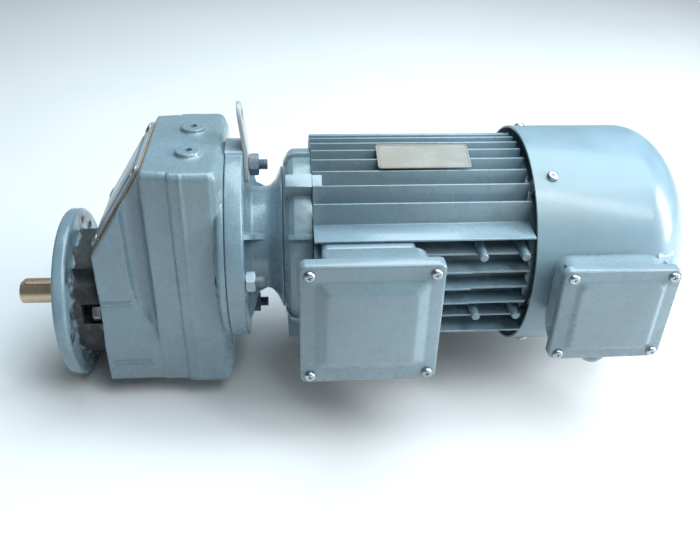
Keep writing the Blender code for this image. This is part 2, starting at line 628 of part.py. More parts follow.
frame = add_mesh("motor_frame", *prism(frame_outline(), FRAME_X0, FRAME_X1, "X"), PAINT)
BOX_X0, BOX_X1 = 214.0, 327.0        # terminal box cover
BOX_Z0, BOX_Z1 = 4.0, 119.0
BOX_FACE = -154.5
boolean(frame, "ears", merge(*[
    oriented(box(FRAME_X0, 236.0, -7.5, 7.5, 74.0, 94.0), (0, 0, DROP),
             (1, 0, 0), (0, sin(a), -cos(a)), (0, cos(a), sin(a))) for a in EARS]), "UNION")
boolean(frame, "box_pad", box(234.0, 312.0, -101.0, -60.0, DROP - 32.0, DROP + 46.0), "UNION")
pads = []
for x, z in ((370.0, 33.5), (406.0, 33.5), (370.0, -27.5), (406.0, -27.5)):
    pads.append(prism(circle(4.0, 14, (x, DROP + z)), -98.5, -70.0, "Y"))
boolean(frame, "foot_pads", merge(*pads), "UNION")
boolean(frame, "stator_seat", cyl(FRAME_X0 - 2, FRAME_X1 + 2, 72.0, 48, MOTOR_AXIS))
boolean(frame, "lead_hole", prism(circle(12.0, 16, (272.0, DROP + 6.0)), -110.0, -50.0, "Y"))

add_mesh("stator_core", *turned(
    [(242.0, 46.0), (378.0, 46.0), (378.0, 62.0), (358.0, 65.0), (358.0, 71.5), (262.0, 71.5), (262.0, 65.0),
     (242.0, 62.0)], 32, MOTOR_AXIS, ring=True), COPPER)
add_mesh("rotor_core", *turned(
    [(256.0, 18.0), (256.0, 45.0), (364.0, 45.0), (364.0, 18.0)],
    28, MOTOR_AXIS, ring=True), DARK, origin=(0.0, *MOTOR_AXIS))
add_mesh("motor_bearing_drive", *turned(
    [(208.0, 12.8), (208.0, 25.7), (222.5, 25.7), (222.5, 12.8)], 24, MOTOR_AXIS, ring=True), ZINC)
add_mesh("motor_bearing_fan_end", *turned(
    [(399.5, 12.8), (399.5, 25.7), (413.5, 25.7), (413.5, 12.8)], 24, MOTOR_AXIS, ring=True), ZINC)

pin_rings = gear(M_IN, Z_PINION, PINION_X[0], PINION_X[1], MOTOR_AXIS, TH_IN + pi + pi / Z_PINION,
                 twist(PINION_X[1] - PINION_X[0], M_IN, Z_PINION, -1))
motor_shaft = add_mesh("motor_shaft", *loft(pin_rings), DARK, origin=(0.0, *MOTOR_AXIS))
boolean(motor_shaft, "journals", turned(
    [(115.0, 0), (115.0, 6.2), (139.0, 6.2), (142.0, 12.5), (250.0, 12.5), (250.0, 17.6), (370.0, 17.6),
     (370.0, 12.5), (418.0, 12.5), (418.0, 0)], 20, MOTOR_AXIS), "UNION")

end = add_mesh("fan_end_shield", *turned(
    [(FRAME_X1 + GAP, 14.0), (FRAME_X1 + GAP, 78.5), (420.0, 80.0), (426.5, 76.0), (426.5, 38.0), (432.0, 34.0),
     (432.0, 14.0)], 32, MOTOR_AXIS, ring=True), PAINT)
boolean(end, "cowl_ears", merge(*[
    oriented(box(419.0, 438.0, -6.0, 6.0, 70.0, 96.0), (0, 0, DROP),
             (1, 0, 0), (0, sin(a), -cos(a)), (0, cos(a), sin(a))) for a in COWL_SCREW_A]), "UNION")
boolean(end, "bearing_seat", cyl(FRAME_X1 - 10, 421.0, 26.0, 24, MOTOR_AXIS))
spider = tube(396.0, FRAME_X1 + 4.0, 26.0, 33.0, 24, MOTOR_AXIS)
boolean(end, "bearing_hub", spider, "UNION")

# nameplate lies on the upright fins, on the near side of the top
PLATE_A = radians(90 + 14.5)
PN = (0.0, cos(PLATE_A), sin(PLATE_A))
PT = (0.0, -sin(PLATE_A), cos(PLATE_A))
add_mesh("nameplate", *oriented(prism(rounded([(284.5, -16.0), (365.5, -16.0), (365.5, 16.0), (284.5, 16.0)], 3.0, 3),
                                      0.0, 1.0, "Z"), (0, PN[1] * (FIN_R + 0.5), DROP + PN[2] * (FIN_R + 0.5)),
                               (1, 0, 0), tuple(-c for c in PT), PN), PLATE)


# ---------------------------------------------------------------- terminal boxes
def screw(r_shank, length, r_head, head):
    """Pan-head screw with a cross recess round local Z, head above 0."""
    return turned_up([(-length, 0), (-length, r_shank), (0.0, r_shank), (0.0, r_head), (head, r_head * 0.7),
                      (head, 0)], 8)


MX = ((1, 0, 0), (0, 0, 1), (0, -1, 0))       # a box's own axes: along X, up, out of the near side
bx = (BOX_X0 + BOX_X1) / 2
bz = (BOX_Z0 + BOX_Z1) / 2
bw, bh = (BOX_X1 - BOX_X0) / 2, (BOX_Z1 - BOX_Z0) / 2
BO = (bx, BOX_FACE, bz)
COVER_T = 17.0
out_w = rounded([(-bw, -bh), (bw, -bh), (bw, bh), (-bw, bh)], 5.0, 2)


def ring_of(w, h, r, d, steps=2):
    return [(x, y, d) for x, y in rounded([(-w, -h), (w, -h), (w, h), (-w, h)], r, steps)]


# cover: rim, step up to the raised panel, hollow inside
tb_cover = add_mesh("terminal_box_cover", *oriented(loft([
    ring_of(bw, bh, 5.0, -COVER_T), ring_of(bw, bh, 5.0, -6.5), ring_of(bw - 1.0, bh - 1.0, 4.5, -5.5)]), BO, *MX), PAINT)
raised = oriented(loft([ring_of(bw - 13.0, bh - 16.0, 5.0, -8.0), ring_of(bw - 13.0, bh - 16.0, 5.0, -4.5),
                        ring_of(bw - 21.0, bh - 24.0, 4.0, 0.0)]), BO, *MX)
boolean(tb_cover, "panel", raised, "UNION")
boolean(tb_cover, "hollow", oriented(loft([ring_of(bw - 4.0, bh - 18.0, 4.0, -COVER_T - 2), ring_of(bw - 18.0, bh - 20.0, 4.0, -COVER_T - 1.9),
                                           ring_of(bw - 18.0, bh - 20.0, 4.0, -9.0)]), BO, *MX))
TBS = [(sx * (bw - 8.0), sy * (bh - 8.5)) for sx in (-1, 1) for sy in (-1, 1)]
boolean(tb_cover, "screw_holes", merge(*[
    oriented(prism(circle(2.8, 12, c), -COVER_T - 3, 1.0, "Z"), BO, *MX) for c in TBS]))
BASE_TOP = -COVER_T - GAP
BASE_BACK = -101.0 - GAP
depth = BASE_BACK - BOX_FACE          # distance from the face to the frame's pad
tb_base = add_mesh("terminal_box_base", *oriented(loft([
    ring_of(bw - 3.0, bh - 3.0, 5.5, BASE_TOP - 3.0), ring_of(bw - 1.5, bh - 1.5, 5.5, BASE_TOP)]), BO, *MX), PAINT)


def body_of(m, d):
    """The box's body: left side deep in, right side less, m inside its outer skin."""
    return [(x, y, d) for x, y in rounded([(-37.5 + m, -47.5 + m), (51.0 - m, -47.5 + m), (51.0 - m, 44.5 - m),
                                           (-37.5 + m, 44.5 - m)], [8.0 - m / 2, 8.0 - m / 2, 13.0 - m, 4.0], 3)]


boolean(tb_base, "body", oriented(loft([
    body_of(2.0, -depth), body_of(0.0, -depth + 3.0), body_of(0.0, BASE_TOP - 1.0)]), BO, *MX), "UNION")
boolean(tb_base, "hollow", oriented(loft([body_of(3.5, -depth + 4.0), body_of(3.5, BASE_TOP + 2.0)]), BO, *MX))
boolean(tb_base, "screw_threads", merge(*[
    oriented(prism(circle(2.5, 12, c), BASE_TOP - 12.0, BASE_TOP + 2.0, "Z"), BO, *MX) for c in TBS]))
boolean(tb_base, "lead_hole", prism(circle(12.0, 16, (272.0, DROP + 6.0)), BOX_FACE + depth - 8.0, -90.0, "Y"))
boolean(tb_base, "cable_entry", prism(circle(10.0, 16, (bx, BOX_FACE + depth - 15.0)), BOX_Z0 - 2.0, BOX_Z0 + 30.0, "Z"))
for n, c in enumerate(TBS, 1):
    add_mesh("terminal_box_screw_%d" % n, *oriented(screw(2.2, 14.5, 4.6, 3.2), (bx + c[0], BOX_FACE + 5.5 - GAP, bz + c[1]), *MX), ZINC)
board = add_mesh("terminal_board", *box(248.0, 296.0, BOX_FACE + depth - 22.0, BOX_FACE + depth - 4.6, 74.0, 88.0), PLASTIC)

# ---------------------------------------------------------------- fan unit
dome = []
for k in range(5):
    t = k / 4.0
    x = 515.0 + (COWL_X1 - 515.0) * sin(t * pi / 2)
    dome.append((x, 38.0 + (COWL_R - 38.0) * max(0.0, cos(t * pi / 2)) ** 1.15))
inner = [(x - 2.4, r - 2.2 if r > 45 else r) for x, r in reversed(dome)]
SEG = 36
cowl = add_mesh("fan_cowl", *turned(
    [(COWL_X0, COWL_R - 2.0), (COWL_X0, COWL_R)] + dome + inner, SEG, MOTOR_AXIS, ring=True), PAINT)
guard = [box(COWL_X1 - 2.2, COWL_X1 - 0.2, y - 1.2, y + 1.2, -sqrt(39.0 ** 2 - y * y), sqrt(39.0 ** 2 - y * y))
         for y in (-26.0, -13.0, 0.0, 13.0, 26.0)]
guard = [([(v[0], v[1], v[2] + DROP) for v in g[0]], g[1]) for g in guard]
boolean(cowl, "guard_bars", merge(*guard), "UNION")
boolean(cowl, "guard_cross_bar", box(COWL_X1 - 2.1, COWL_X1 - 0.3, -39.0, 39.0, DROP - 1.2, DROP + 1.2), "UNION")
CSX = 432.2


def radial(a, r, x):
    """Local axes for a piece standing on the cowl at angle a."""
    n = (0.0, cos(a), sin(a))
    t = (0.0, -sin(a), cos(a))
    return (x, n[1] * r, DROP + n[2] * r), (1, 0, 0), t, n


boolean(cowl, "screw_holes", merge(*[
    oriented(prism(circle(2.8, 12), -8.0, 6.0, "Z"), *radial(a, COWL_R, CSX)) for a in COWL_SCREW_A]))
for n, a in enumerate(COWL_SCREW_A, 1):
    add_mesh("cowl_screw_%d" % n, *oriented(screw(2.2, 5.0, 5.0, 2.8), *radial(a, COWL_R + GAP, CSX)), ZINC)

add_mesh("fan_motor", *turned(
    [(438.0, 0), (438.0, 36.0), (486.0, 36.0), (486.0, 9.0), (494.0, 9.0), (494.0, 5.0), (521.0, 5.0), (521.0, 0)],
    20, MOTOR_AXIS), DARK)
brackets = merge(*[oriented(box(446.0, 460.0, -6.0, 6.0, 30.0, COWL_R - 3.2), (0, 0, DROP), (1, 0, 0),
                            (0, cos(a), sin(a)), (0, -sin(a), cos(a))) for a in (0.0, 2 * pi / 3, 4 * pi / 3)])
boolean(bpy.data.objects["fan_motor"], "arms", brackets, "UNION")

hub = tube(498.0, 516.0, 5.5, 20.0, 20, MOTOR_AXIS)
impeller = add_mesh("fan_impeller", *hub, PLASTIC, origin=(0.0, *MOTOR_AXIS))
blades = []
for k in range(6):
    a = 2 * pi * k / 6
    n_ = Vector((0, cos(a), sin(a)))
    t_ = Vector((0, -sin(a), cos(a)))
    rings = []
    for q, w, pitch in ((17.0, 7.0, 0.75), (48.0, 12.0, 0.55), (76.0, 15.0, 0.42)):
        c = Vector((507.0, 0, DROP)) + n_ * q
        along = Vector((sin(pitch), 0, 0)) + t_ * cos(pitch)
        across = Vector((cos(pitch), 0, 0)) - t_ * sin(pitch)
        rings.append([tuple(c + along * u * w + across * v) for u, v in ((-1, -1.1), (1, -1.1), (1, 1.1), (-1, 1.1))])
    blades.append(loft(rings))
boolean(impeller, "blades", merge(*blades), "UNION")

# small terminal box of the cooling fan
FB_TILT = 0.0
FW, FH = 48.0, 44.5
FB_OUT = (0.0, -cos(FB_TILT), -sin(FB_TILT))
FB_UP = (0.0, -sin(FB_TILT), cos(FB_TILT))
FBX = ((1, 0, 0), FB_UP, FB_OUT)
FBO = (469.5, -150.0, DROP + 6.4)
fb_cover = add_mesh("fan_box_cover", *oriented(loft([
    ring_of(FW, FH, 7.0, -12.0), ring_of(FW, FH, 7.0, -2.0), ring_of(FW - 2.0, FH - 2.0, 6.0, 0.0)]), FBO, *FBX), PAINT)
boolean(fb_cover, "hollow", oriented(loft([
    ring_of(FW - 12.0, FH - 12.0, 4.0, -14.0), ring_of(FW - 12.0, FH - 12.0, 4.0, -4.0)]), FBO, *FBX))
FBS = [(sx * (FW - 7.5), sy * (FH - 7.0)) for sx in (-1, 1) for sy in (-1, 1)]
boolean(fb_cover, "screw_holes", merge(*[
    oriented(prism(circle(2.6, 12, c), -16.0, 3.0, "Z"), FBO, *FBX) for c in FBS]))
fb_base = add_mesh("fan_box_base", *oriented(loft([
    ring_of(FW - 10.0, FH - 14.0, 8.0, -47.3), ring_of(FW - 4.0, FH - 5.0, 8.0, -30.0),
    ring_of(FW - 2.0, FH - 2.0, 6.0, -12.0 - GAP)]), FBO, *FBX), PAINT)
boolean(fb_base, "hollow", oriented(loft([
    ring_of(FW - 19.0, FH - 21.0, 5.0, -42.0), ring_of(FW - 14.0, FH - 14.0, 5.0, -10.0)]), FBO, *FBX))
boolean(fb_base, "screw_threads", merge(*[
    oriented(prism(circle(2.4, 12, c), -24.0, -10.0, "Z"), FBO, *FBX) for c in FBS]))
boolean(fb_base, "cable_entry", oriented(prism(circle(8.8, 16, (0.0, -25.5)), -FH - 6.0, -FH + 22.0, "Y"), FBO, *FBX))
for n, c in enumerate(FBS, 1):
    o = Vector(FBO) + Vector(FBX[0]) * c[0] + Vector(FBX[1]) * c[1] + Vector(FBX[2]) * GAP
    add_mesh("fan_box_screw_%d" % n, *oriented(screw(2.1, 20.0, 4.4, 2.6), o, *FBX), ZINC)
gv, gf = turned([(-10.0, 4.5), (-10.0, 8.4), (0.3, 8.4), (0.3, 12.3), (12.0, 12.3), (17.0, 9.0), (17.0, 4.5)],
                16, ring=True)
GO = Vector(FBO) + Vector(FBX[1]) * (-FH + 1.2) + Vector(FBX[2]) * -25.5
add_mesh("fan_cable_gland", *oriented((gv, gf), GO, tuple(-c for c in FB_UP), (1, 0, 0), FB_OUT), PLASTIC)
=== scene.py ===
"""Looks for the inline gear reducer: enamelled castings, a ribbed motor, pressed sheet cowl."""
from math import sin, cos, tan, pi, radians, sqrt, atan2, acos, asin

import bmesh
import bpy
from mathutils import Matrix, Vector


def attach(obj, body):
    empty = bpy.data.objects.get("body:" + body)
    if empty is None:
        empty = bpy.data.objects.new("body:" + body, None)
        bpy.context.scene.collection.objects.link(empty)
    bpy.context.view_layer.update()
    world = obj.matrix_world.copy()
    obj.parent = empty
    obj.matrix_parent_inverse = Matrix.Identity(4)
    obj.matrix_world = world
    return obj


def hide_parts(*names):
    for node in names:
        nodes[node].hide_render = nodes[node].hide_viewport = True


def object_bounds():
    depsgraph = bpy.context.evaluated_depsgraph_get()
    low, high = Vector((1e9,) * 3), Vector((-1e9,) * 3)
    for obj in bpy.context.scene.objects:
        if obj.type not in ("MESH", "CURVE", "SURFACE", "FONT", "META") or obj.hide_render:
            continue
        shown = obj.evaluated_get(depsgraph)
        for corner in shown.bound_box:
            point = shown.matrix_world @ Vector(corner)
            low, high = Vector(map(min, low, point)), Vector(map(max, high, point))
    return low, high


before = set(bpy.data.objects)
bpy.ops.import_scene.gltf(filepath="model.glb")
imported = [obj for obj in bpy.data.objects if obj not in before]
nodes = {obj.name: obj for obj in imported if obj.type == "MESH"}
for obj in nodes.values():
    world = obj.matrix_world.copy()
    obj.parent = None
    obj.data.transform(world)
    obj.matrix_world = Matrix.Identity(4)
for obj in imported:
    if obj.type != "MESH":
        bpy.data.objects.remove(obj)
cad_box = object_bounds()
scene = bpy.context.scene

GAP = 0.3
DROP = 57.0
AXIS = (0.0, DROP)
OUT = (0.0, 0.0)


# ------------------------------------------------------------------ camera
yaw, pitch, roll = radians(5.56914), radians(34.13039), radians(1.81385)
right = Vector((cos(yaw), -sin(yaw), 0.0))
fwd = Vector((sin(yaw) * cos(pitch), cos(yaw) * cos(pitch), -sin(pitch)))
up = right.cross(fwd)
r2 = cos(roll) * right + sin(roll) * up
u2 = -sin(roll) * right + cos(roll) * up
cam_data = bpy.data.cameras.new("view")
cam_data.sensor_width = 36.0
cam_data.sensor_fit = "HORIZONTAL"
cam_data.lens = 756.1857 / 700.0 * 36.0
cam_data.clip_start = 0.02
cam_data.clip_end = 20.0
cam = bpy.data.objects.new("view", cam_data)
scene.collection.objects.link(cam)
m = Matrix.Identity(4)
for i in range(3):
    m[i][0], m[i][1], m[i][2] = r2[i], u2[i], -fwd[i]
m[0][3], m[1][3], m[2][3] = 0.206605, -0.620270, 0.427439
cam.matrix_world = m
scene.camera = cam


# ------------------------------------------------------------------ mesh tools
def raw_mesh(name, verts, faces):
    mesh = bpy.data.meshes.new(name)
    mesh.from_pydata([Vector(v) * 0.001 for v in verts], [], faces)
    bm = bmesh.new()
    bm.from_mesh(mesh)
    bmesh.ops.remove_doubles(bm, verts=bm.verts, dist=1e-7)
    bmesh.ops.recalc_face_normals(bm, faces=bm.faces)
    bmesh.ops.connect_verts_nonplanar(bm, angle_limit=0.0005, faces=bm.faces)
    bm.to_mesh(mesh)
    bm.free()
    return mesh


def new(name, shape):
    obj = bpy.data.objects.new(name, raw_mesh(name, *shape))
    scene.collection.objects.link(obj)
    return obj


def freeze(obj):
    """Apply every modifier on the object."""
    bpy.context.view_layer.update()
    deps = bpy.context.evaluated_depsgraph_get()
    mesh = bpy.data.meshes.new_from_object(obj.evaluated_get(deps))
    obj.modifiers.clear()
    old = obj.data
    obj.data = mesh
    bpy.data.meshes.remove(old)
    return obj


def cut(obj, shape, op="DIFFERENCE"):
    tool = new("tool", shape)
    mod = obj.modifiers.new("b", "BOOLEAN")
    mod.operation = op
    mod.object = tool
    mod.solver = "EXACT"
    freeze(obj)
    data = tool.data
    bpy.data.objects.remove(tool)
    bpy.data.meshes.remove(data)
    return obj


def bevel(obj, width, segments=3, angle=30.0):
    mod = obj.modifiers.new("bevel", "BEVEL")
    mod.width = width * 0.001
    mod.segments = segments
    mod.limit_method = "ANGLE"
    mod.angle_limit = radians(angle)
    mod.use_clamp_overlap = True
    mod.miter_outer = "MITER_ARC"
    return freeze(obj)


def cast(obj, voxel, rounds=3, keep=0.5, factor=0.5):
    """Round every edge the way a sand casting is round."""
    mod = obj.modifiers.new("r", "REMESH")
    mod.mode = "VOXEL"
    mod.voxel_size = voxel * 0.001
    mod.use_smooth_shade = True
    freeze(obj)
    mod = obj.modifiers.new("s", "SMOOTH")
    mod.factor = factor
    mod.iterations = rounds
    freeze(obj)
    if keep < 1.0:
        mod = obj.modifiers.new("d", "DECIMATE")
        mod.ratio = keep
        freeze(obj)
    return obj


def finish(obj, mat, slot, *stands_for, body="housing", angle=32.0):
    obj.data.materials.clear()
    obj.data.materials.append(mat)
    for p in obj.data.polygons:
        p.material_index = 0
    obj.data.shade_smooth()
    obj.data.set_sharp_from_angle(angle=radians(angle))
    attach(obj, body)
    if stands_for:
        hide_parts(*stands_for)
    return obj


def merge(*shapes):
    verts, faces = [], []
    for vs, fs in shapes:
        base = len(verts)
        verts += vs
        faces += [tuple(base + i for i in f) for f in fs]
    return verts, faces


def turned(profile, seg, axis=OUT, phase=0.0, ring=False):
    """Turn (x, r) points about an axis along X."""
    cy, cz = axis
    verts, rows = [], []
    for x, r in profile:
        if r <= 0.0:
            rows.append([len(verts)] * seg)
            verts.append((x, cy, cz))
        else:
            rows.append([len(verts) + k for k in range(seg)])
            verts += [(x, cy + r * cos(phase + 2 * pi * k / seg),
                       cz + r * sin(phase + 2 * pi * k / seg)) for k in range(seg)]
    faces = []
    for i in range(len(rows) if ring else len(rows) - 1):
        a, b = rows[i], rows[(i + 1) % len(rows)]
        for k in range(seg):
            n = (k + 1) % seg
            quad = []
            for v in (a[k], a[n], b[n], b[k]):
                if v not in quad:
                    quad.append(v)
            if len(quad) > 2:
                faces.append(tuple(quad))
    return verts, faces


def soft(profile, radii, steps=4, closed=False):
    """Round the corners of an open or closed (x, r) profile."""
    out = []
    n = len(profile)
    for i, p in enumerate(profile):
        r = radii[i] if isinstance(radii, (list, tuple)) else radii
        if (not closed and i in (0, n - 1)) or r <= 0:
            out.append(tuple(p))
            continue
        a, b, c = Vector(profile[i - 1]), Vector(profile[(i + 1) % n]), Vector(p)
        u, v = (a - c), (b - c)
        lu, lv = u.length, v.length
        u.normalize()
        v.normalize()
        half = acos(max(-1.0, min(1.0, u.dot(v)))) / 2.0
        if half > pi / 2 - 0.02 or half < 0.02:
            out.append(tuple(p))
            continue
        t = min(r / tan(half), 0.48 * lu, 0.48 * lv)
        q = t * tan(half)
        centre = c + (u + v).normalized() * (q / sin(half))
        s, e = c + u * t - centre, c + v * t - centre
        a0 = atan2(s.y, s.x)
        d = (atan2(e.y, e.x) - a0 + pi) % (2 * pi) - pi
        out += [(centre.x + q * cos(a0 + d * k / steps), centre.y + q * sin(a0 + d * k / steps))
                for k in range(steps + 1)]
    return out


def cyl(x0, x1, r, seg=32, axis=OUT, phase=0.0):
    return turned([(x0, 0), (x0, r), (x1, r), (x1, 0)], seg, axis, phase)


def loft(sections):
    n = len(sections[0])
    verts = [p for s in sections for p in s]
    faces = [tuple(range(n)), tuple(range((len(sections) - 1) * n, len(sections) * n))]
    for i in range(len(sections) - 1):
        for k in range(n):
            q = (k + 1) % n
            faces.append((i * n + k, i * n + q, (i + 1) * n + q, (i + 1) * n + k))
    return verts, faces


def prism(outline, a0, a1, axis):
    def put(p, a):
        return {"X": (a, p[0], p[1]), "Y": (p[0], a, p[1]), "Z": (p[0], p[1], a)}[axis]
    return loft([[put(p, a0) for p in outline], [put(p, a1) for p in outline]])


def box(x0, x1, y0, y1, z0, z1):
    return prism([(x0, y0), (x1, y0), (x1, y1), (x0, y1)], z0, z1, "Z")


def rounded(points, radii, steps=6):
    return soft(points, radii, steps, closed=True)


def circle(r, seg=32, centre=(0.0, 0.0), phase=0.0):
    return [(centre[0] + r * cos(phase + 2 * pi * k / seg),
             centre[1] + r * sin(phase + 2 * pi * k / seg)) for k in range(seg)]


def oriented(shape, origin, ex, ey, ez):
    verts, faces = shape
    o, ex, ey, ez = Vector(origin), Vector(ex), Vector(ey), Vector(ez)
    return [tuple(o + ex * v[0] + ey * v[1] + ez * v[2]) for v in verts], faces


def turned_up(profile, seg, phase=0.0):
    verts, faces = turned(profile, seg, (0.0, 0.0), phase)
    return [(v[1], v[2], v[0]) for v in verts], faces


def placed(name, template, origin, ex, ey, ez):
    """A copy of a template mesh, standing at origin (mm) on its own axes."""
    data = template.data.copy()
    data.name = name
    m = Matrix.Identity(4)
    for i in range(3):
        m[i][0], m[i][1], m[i][2], m[i][3] = ex[i], ey[i], ez[i], origin[i] * 0.001
    data.transform(m)
    if m.to_3x3().determinant() < 0:
        data.flip_normals()
    obj = bpy.data.objects.new(name, data)
    scene.collection.objects.link(obj)
    return obj


def drop(obj):
    data = obj.data
    bpy.data.objects.remove(obj)
    bpy.data.meshes.remove(data)


# ------------------------------------------------------------------ materials
def shader(name):
    mat = bpy.data.materials.new(name)
    mat.use_nodes = True
    tree = mat.node_tree
    return mat, tree, tree.nodes["Principled BSDF"]


def link(tree, a, b):
    tree.links.new(a, b)


def coords(tree, scale=(1.0, 1.0, 1.0), rotation=(0.0, 0.0, 0.0)):
    t = tree.nodes.new("ShaderNodeTexCoord")
    m_ = tree.nodes.new("ShaderNodeMapping")
    m_.inputs["Scale"].default_value = scale
    m_.inputs["Rotation"].default_value = rotation
    link(tree, t.outputs["Object"], m_.inputs["Vector"])
    return m_.outputs["Vector"]


def noise(tree, vec, scale, detail=4.0, rough=0.55, distort=0.0):
    n = tree.nodes.new("ShaderNodeTexNoise")
    n.inputs["Scale"].default_value = scale
    n.inputs["Detail"].default_value = detail
    n.inputs["Roughness"].default_value = rough
    n.inputs["Distortion"].default_value = distort
    link(tree, vec, n.inputs["Vector"])
    return n.outputs["Fac"]


def ramp(tree, fac, stops):
    r = tree.nodes.new("ShaderNodeValToRGB")
    e = r.color_ramp.elements
    while len(e) > 1:
        e.remove(e[-1])
    e[0].position = stops[0][0]
    e[0].color = (*stops[0][1], 1.0) if len(stops[0][1]) == 3 else stops[0][1]
    for pos, col in stops[1:]:
        q = e.new(pos)
        q.color = (*col, 1.0)
    link(tree, fac, r.inputs["Fac"])
    return r.outputs["Color"]


def mix(tree, fac, a, b, mode="MIX"):
    x = tree.nodes.new("ShaderNodeMix")
    x.data_type = "RGBA"
    x.blend_type = mode
    for sock, val in ((x.inputs[0], fac), (x.inputs[6], a), (x.inputs[7], b)):
        if hasattr(val, "node"):
            link(tree, val, sock)
        elif isinstance(val, (tuple, list)):
            sock.default_value = (*val, 1.0) if len(val) == 3 else val
        else:
            sock.default_value = val
    return x.outputs[2]


def span(tree, fac, lo, hi, a=0.0, b=1.0):
    r = tree.nodes.new("ShaderNodeMapRange")
    r.inputs["From Min"].default_value = lo
    r.inputs["From Max"].default_value = hi
    r.inputs["To Min"].default_value = a
    r.inputs["To Max"].default_value = b
    link(tree, fac, r.inputs["Value"])
    return r.outputs["Result"]


def add(tree, a, b, op="ADD"):
    q = tree.nodes.new("ShaderNodeMath")
    q.operation = op
    for sock, val in ((q.inputs[0], a), (q.inputs[1], b)):
        if hasattr(val, "node"):
            link(tree, val, sock)
        else:
            sock.default_value = val
    return q.outputs[0]


def bump(tree, bsdf, height, distance, strength=1.0):
    b = tree.nodes.new("ShaderNodeBump")
    b.inputs["Distance"].default_value = distance
    b.inputs["Strength"].default_value = strength
    link(tree, height, b.inputs["Height"])
    link(tree, b.outputs["Normal"], bsdf.inputs["Normal"])


def enamel(name, base, rough_cast, lumps, rough=0.30, wear=0.0, coat=0.35, fine=900.0):
    """Blue-grey enamel: rough_cast is the depth of the sand texture, lumps that of slow waves."""
    mat, t, bsdf = shader(name)
    v = coords(t)
    slow = noise(t, v, 9.0, 3.0, 0.5)
    mid = noise(t, v, 55.0, 4.0, 0.6)
    dark = tuple(c * 0.87 for c in base)
    warm = (base[0] * 0.98, base[1] * 0.92, base[2] * 0.84)
    pale = tuple(min(1.0, c * 1.18 + 0.01) for c in base)
    col = ramp(t, slow, [(0.30, warm), (0.50, base), (0.72, pale)])
    col = mix(t, span(t, mid, 0.28, 0.62), mix(t, 0.45, col, dark), col)
    if rough_cast > 0.05:
        # painted shade: concave creases darkened towards near-black; painted highlight: convex edges lightened
        geo = t.nodes.new("ShaderNodeNewGeometry")
        edge = span(t, geo.outputs["Pointiness"], 0.40, 0.49)
        col = mix(t, edge, mix(t, 0.6, col, (0.045, 0.05, 0.05)), col)
        tip = span(t, geo.outputs["Pointiness"], 0.53, 0.62)
        col = mix(t, add(t, tip, 0.45, "MULTIPLY"), col, tuple(min(1.0, c * 1.5 + 0.04) for c in base))
    if wear > 0.0:
        spots = noise(t, v, 120.0, 6.0, 0.7)
        spot = span(t, spots, 0.66, 0.70)
        col = mix(t, add(t, spot, wear, "MULTIPLY"), col, (0.20, 0.17, 0.12))
    link(t, col, bsdf.inputs["Base Color"])
    link(t, span(t, mid, 0.25, 0.75, rough - 0.08, rough + 0.12), bsdf.inputs["Roughness"])
    bsdf.inputs["Coat Weight"].default_value = coat
    bsdf.inputs["Coat Roughness"].default_value = 0.12
    bsdf.inputs["Specular IOR Level"].default_value = 0.55
    grains = noise(t, v, fine, 3.0, 0.6)
    grit = noise(t, v, fine * 0.38, 4.0, 0.65)
    h = add(t, add(t, grains, 0.45, "MULTIPLY"), add(t, grit, 0.9, "MULTIPLY"))
    h = add(t, add(t, h, rough_cast, "MULTIPLY"), add(t, noise(t, v, 42.0, 3.0, 0.5), lumps, "MULTIPLY"))
    bump(t, bsdf, h, 0.001, 1.0)
    return mat


def paint_shade_behind_flange(mat, x0, x1, r_in):
    """Painted shade: dark blue-grey colour, rougher and without coat, between two planes along X and inside a radius,
    where the collar behind the flange lies in shade.
    """
    t = mat.node_tree
    bsdf = t.nodes["Principled BSDF"]
    old = bsdf.inputs["Base Color"].links[0].from_socket
    tc = t.nodes.new("ShaderNodeTexCoord")
    sep = t.nodes.new("ShaderNodeSeparateXYZ")
    link(t, tc.outputs["Object"], sep.inputs["Vector"])
    v = coords(t)
    wob = span(t, noise(t, v, 60.0, 4.0, 0.6), 0.3, 0.7, -0.004, 0.004)
    x = add(t, sep.outputs["X"], wob)
    shade_band = add(t, span(t, x, x0, x0 + 0.003), span(t, x, x1, x1 - 0.002), "MULTIPLY")
    yy = add(t, sep.outputs["Y"], sep.outputs["Y"], "MULTIPLY")
    zz = add(t, sep.outputs["Z"], sep.outputs["Z"], "MULTIPLY")
    r = add(t, add(t, yy, zz), 0.5, "POWER")
    shade_band = add(t, shade_band, span(t, r, r_in + 0.006, r_in), "MULTIPLY")
    # painted shade: a dark blue-grey colour stands in for the shade on the collar behind the flange
    painted_shade_colour = ramp(t, noise(t, v, 90.0, 5.0, 0.65), [(0.35, (0.026, 0.028, 0.031)), (0.55, (0.046, 0.046, 0.046)), (0.70, (0.075, 0.088, 0.096))])
    link(t, mix(t, shade_band, old, painted_shade_colour), bsdf.inputs["Base Color"])
    gloss = bsdf.inputs["Roughness"].links[0].from_socket
    link(t, add(t, gloss, add(t, shade_band, 0.30, "MULTIPLY")), bsdf.inputs["Roughness"])
    link(t, span(t, shade_band, 0.0, 1.0, 0.45, 0.0), bsdf.inputs["Coat Weight"])
    link(t, span(t, shade_band, 0.0, 1.0, 0.55, 0.20), bsdf.inputs["Specular IOR Level"])
    return mat


